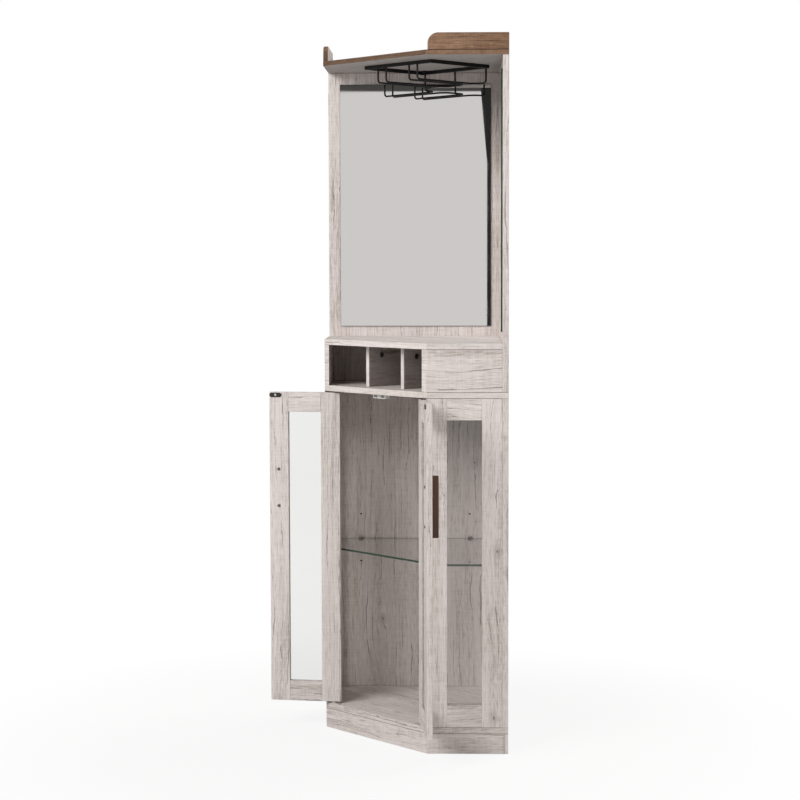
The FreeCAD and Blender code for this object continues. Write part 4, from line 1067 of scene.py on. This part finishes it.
class CABINET_OT_pivot_hinges(bpy.types.Operator):
    """Pivot hinges, their washers and the screws of the doors and fittings."""
    bl_idname = "cabinet.pivot_hinges"
    bl_label = "Pivot hinges and screws"

    def execute(self, context):
        for side in SIDES:
            fitting(f"{side}_door_hinge_leaves", ("black_metal",), METAL_EASE)
        # The plates under the deck are black, and the ones on the base board are grey.
        fitting("hinge_plates", ("black_metal", "grey_plate"), METAL_EASE,
                lambda face: int(face.calc_center_median().z < (LEAF_LOW + LEAF_HIGH) / 2))
        fitting("pivot_washers", ("nylon",), WASHER_EASE)
        for side in SIDES:
            bm = bmesh.new()
            for beside in HINGE_SCREWS:
                countersunk(bm, (PIVOT_X + beside, 0, LEAF_HIGH), -UP)
                countersunk(bm, (PIVOT_X + beside, 0, LEAF_LOW), UP)
            countersunk(bm, STRIKE_SCREW, FORWARDS)
            for z in HANDLE_SCREW_HEIGHTS:
                pan_head(bm, (HANDLE_X, HANDLE_SCREW_Y, z), FORWARDS, HANDLE_SCREW_LENGTH, finish=1)
            bmesh.ops.transform(bm, matrix=opened(), verts=bm.verts)
            if side == "left":
                mirror_over(bm)
            node = f"{side}_door_screws"
            finish_piece(bm, f"{node}_cross_recess", ("steel", "bronze"), node)
        bm = bmesh.new()
        for sign in SIDES.values():
            for beside in HINGE_SCREWS:
                countersunk(bm, (sign * (PIVOT_X + beside), 0, PLATE_HIGH), UP)
                countersunk(bm, (sign * (PIVOT_X + beside), 0, PLATE_LOW), -UP)
        countersunk(bm, CATCH_SCREW, UP)
        finish_piece(bm, "fitting_screws_cross_recess", ("steel",), "fitting_screws")
        return {"FINISHED"}


class CABINET_OT_magnetic_catch(bpy.types.Operator):
    """Double magnetic catch and the strike plates on the doors."""
    bl_idname = "cabinet.magnetic_catch"
    bl_label = "Magnetic catch"

    def execute(self, context):
        fitting("catch_housing", ("plastic",), MOULDED_EASE)
        fitting("catch_magnets", ("magnet",), METAL_EASE)
        for side in SIDES:
            fitting(f"{side}_door_strike_plate", ("black_metal",), METAL_EASE)
        return {"FINISHED"}


class CABINET_OT_glass_shelf(bpy.types.Operator):
    """Glass shelf and its four clips."""
    bl_idname = "cabinet.glass_shelf"
    bl_label = "Glass shelf"

    def execute(self, context):
        pane("glass_shelf", UP)
        fitting("shelf_clips", ("clip",), MOULDED_EASE)
        return {"FINISHED"}


class CABINET_OT_bottle_bays(bpy.types.Operator):
    """End boards, dividers and cam locks of the bottle bays."""
    bl_idname = "cabinet.bottle_bays"
    bl_label = "Bottle bays"

    def execute(self, context):
        for side, normal in WALLS.items():
            board(f"{side}_bay_side", quarter_turned(normal), normal)
            # The dividers' broad faces inside the bays take a darker copy of the print: painted shade.
            board(f"{side}_bay_divider", INWARDS, ACROSS, finishes=("oak", "dull_oak"),
                  sort=lambda face: int(abs(face.normal.x) > MAINLY))
        bm = bmesh.new()
        rings = ((CAM_RIM, CAM_RIM_DEPTH), (CAM_RIM, CAM_LENGTH))
        # The cams' cross recesses are painted black: painted shade in the recesses.
        for place in CAM_PLACES:
            cross_head(bm, towards(ACROSS, place), CAM_FACE, rings, CAM_RECESS, CAM_CROSS, inside=1)
        finish_piece(bm, "cam_locks_cross_recess", ("zinc", "black_metal"), "cam_locks")
        return {"FINISHED"}


class CABINET_OT_stemware_rack(bpy.types.Operator):
    """Hanging rack: frame, bent wires, weld beads and screws."""
    bl_idname = "cabinet.stemware_rack"
    bl_label = "Stemware rack"

    def execute(self, context):
        sizes = context.scene.cabinet_sizes
        radius, beads = sizes.wire_radius, sizes.weld_radius
        low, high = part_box("rack_frame")
        front, rear, bar = low.y + BAR_HALF, high.y - BAR_HALF, low.z

        def wire(name, node, path, radii, welded, twin=False):
            """One bent wire through x, y, z places, with a weld bead at some of them."""
            bm = bmesh.new()
            points = [Vector(place) for place in path]
            bent_rod(bm, points, radii, radius)
            for index in welded:
                bead(bm, points[index], beads)
            bmesh.ops.recalc_face_normals(bm, faces=bm.faces)
            if twin:
                mirror_over(bm)
            finish_piece(bm, name, ("rack",), node)

        x, z = CENTRE_WIRE_X, WIRE_HEIGHT
        wire("rack_centre_wire_bent", "rack_centre_wire", ((-x, front, bar), (-x, front, z), (-x, rear, z),
                                                           (x, rear, z), (x, front, z), (x, front, bar)),
             (WIRE_BEND, WIRE_TURN, WIRE_TURN, WIRE_BEND), (-1, 0))
        x, end = OUTER_WIRE_X, OUTER_WIRE_END
        for side in SIDES:
            wire(f"{side}_rack_wire_bent", f"{side}_rack_wire",
                 ((x, front, bar), (x, front, z), (x, rear, z), (end, rear, z), (end, rear, bar)),
                 (WIRE_BEND, WIRE_TURN, WIRE_BEND), (0, -1), twin=side == "left")
        wire("rack_rear_leg_welded", "rack_rear_leg", ((0, rear, z + radius), (0, rear, bar)), (), (1, 0))

        coat("rack_frame", "rack")
        bm = bmesh.new()
        for sign in SIDES.values():
            for y in (front + RACK_SCREW_INSET, rear - RACK_SCREW_INSET):
                pan_head(bm, (sign * RACK_SCREW_X, y, RACK_SCREW_HEIGHT), UP, RACK_SCREW_LENGTH)
        finish_piece(bm, "rack_screws_cross_recess", ("rack",), "rack_screws")
        return {"FINISHED"}


class CABINET_OT_dowels(bpy.types.Operator):
    """Beech dowels inside the joints."""
    bl_idname = "cabinet.dowels"
    bl_label = "Dowels"

    def execute(self, context):
        coat("dowels", "beech")
        return {"FINISHED"}


class CABINET_OT_stage(bpy.types.Operator):
    """Pale floor, soft lights, white surroundings and the camera."""
    bl_idname = "cabinet.stage"
    bl_label = "Stage"

    def execute(self, context):
        stage = context.scene.cabinet_stage
        make_floor(stage)
        make_world(stage)
        for name, (place, target, size, watts) in SOFT_LIGHTS.items():
            soft_light(name, place, target, size, getattr(stage, watts))
        # Reflected in the top, the light behind the cabinet would make the brown boards look white.
        bpy.data.objects["rear_softbox"].visible_glossy = False
        make_camera(stage.lens)
        context.scene.view_settings.view_transform = "Standard"
        return {"FINISHED"}


OPERATORS = (CABINET_OT_flat_boards, CABINET_OT_framed_sides, CABINET_OT_framed_doors, CABINET_OT_mirrors,
             CABINET_OT_handles, CABINET_OT_pivot_hinges, CABINET_OT_magnetic_catch, CABINET_OT_glass_shelf,
             CABINET_OT_bottle_bays, CABINET_OT_stemware_rack, CABINET_OT_dowels, CABINET_OT_stage)


class CABINET_PT_sidebar(bpy.types.Panel):
    """Lists the operators in the sidebar."""
    bl_idname = "CABINET_PT_sidebar"
    bl_label = "Corner bar cabinet"
    bl_space_type = "VIEW_3D"
    bl_region_type = "UI"
    bl_category = "Cabinet"

    def draw(self, context):
        for operator in OPERATORS:
            self.layout.operator(operator.bl_idname)


GROUPS = {"cabinet_sizes": CabinetSizes, "cabinet_colours": CabinetColours, "cabinet_stage": CabinetStage}
CLASSES = (*GROUPS.values(), *OPERATORS, CABINET_PT_sidebar)


def register():
    """Registers the classes and puts the settings on the scene."""
    for kind in CLASSES:
        bpy.utils.register_class(kind)
    for name, group in GROUPS.items():
        setattr(bpy.types.Scene, name, PointerProperty(type=group))


def unregister():
    """Takes the settings and classes away again."""
    for name in GROUPS:
        delattr(bpy.types.Scene, name)
    for kind in reversed(CLASSES):
        bpy.utils.unregister_class(kind)


def main():
    register()
    make_finishes()
    find_neighbours()
    for operator in OPERATORS:
        group, name = operator.bl_idname.split(".")
        getattr(getattr(bpy.ops, group), name)()


if __name__ == "__main__":
    main()
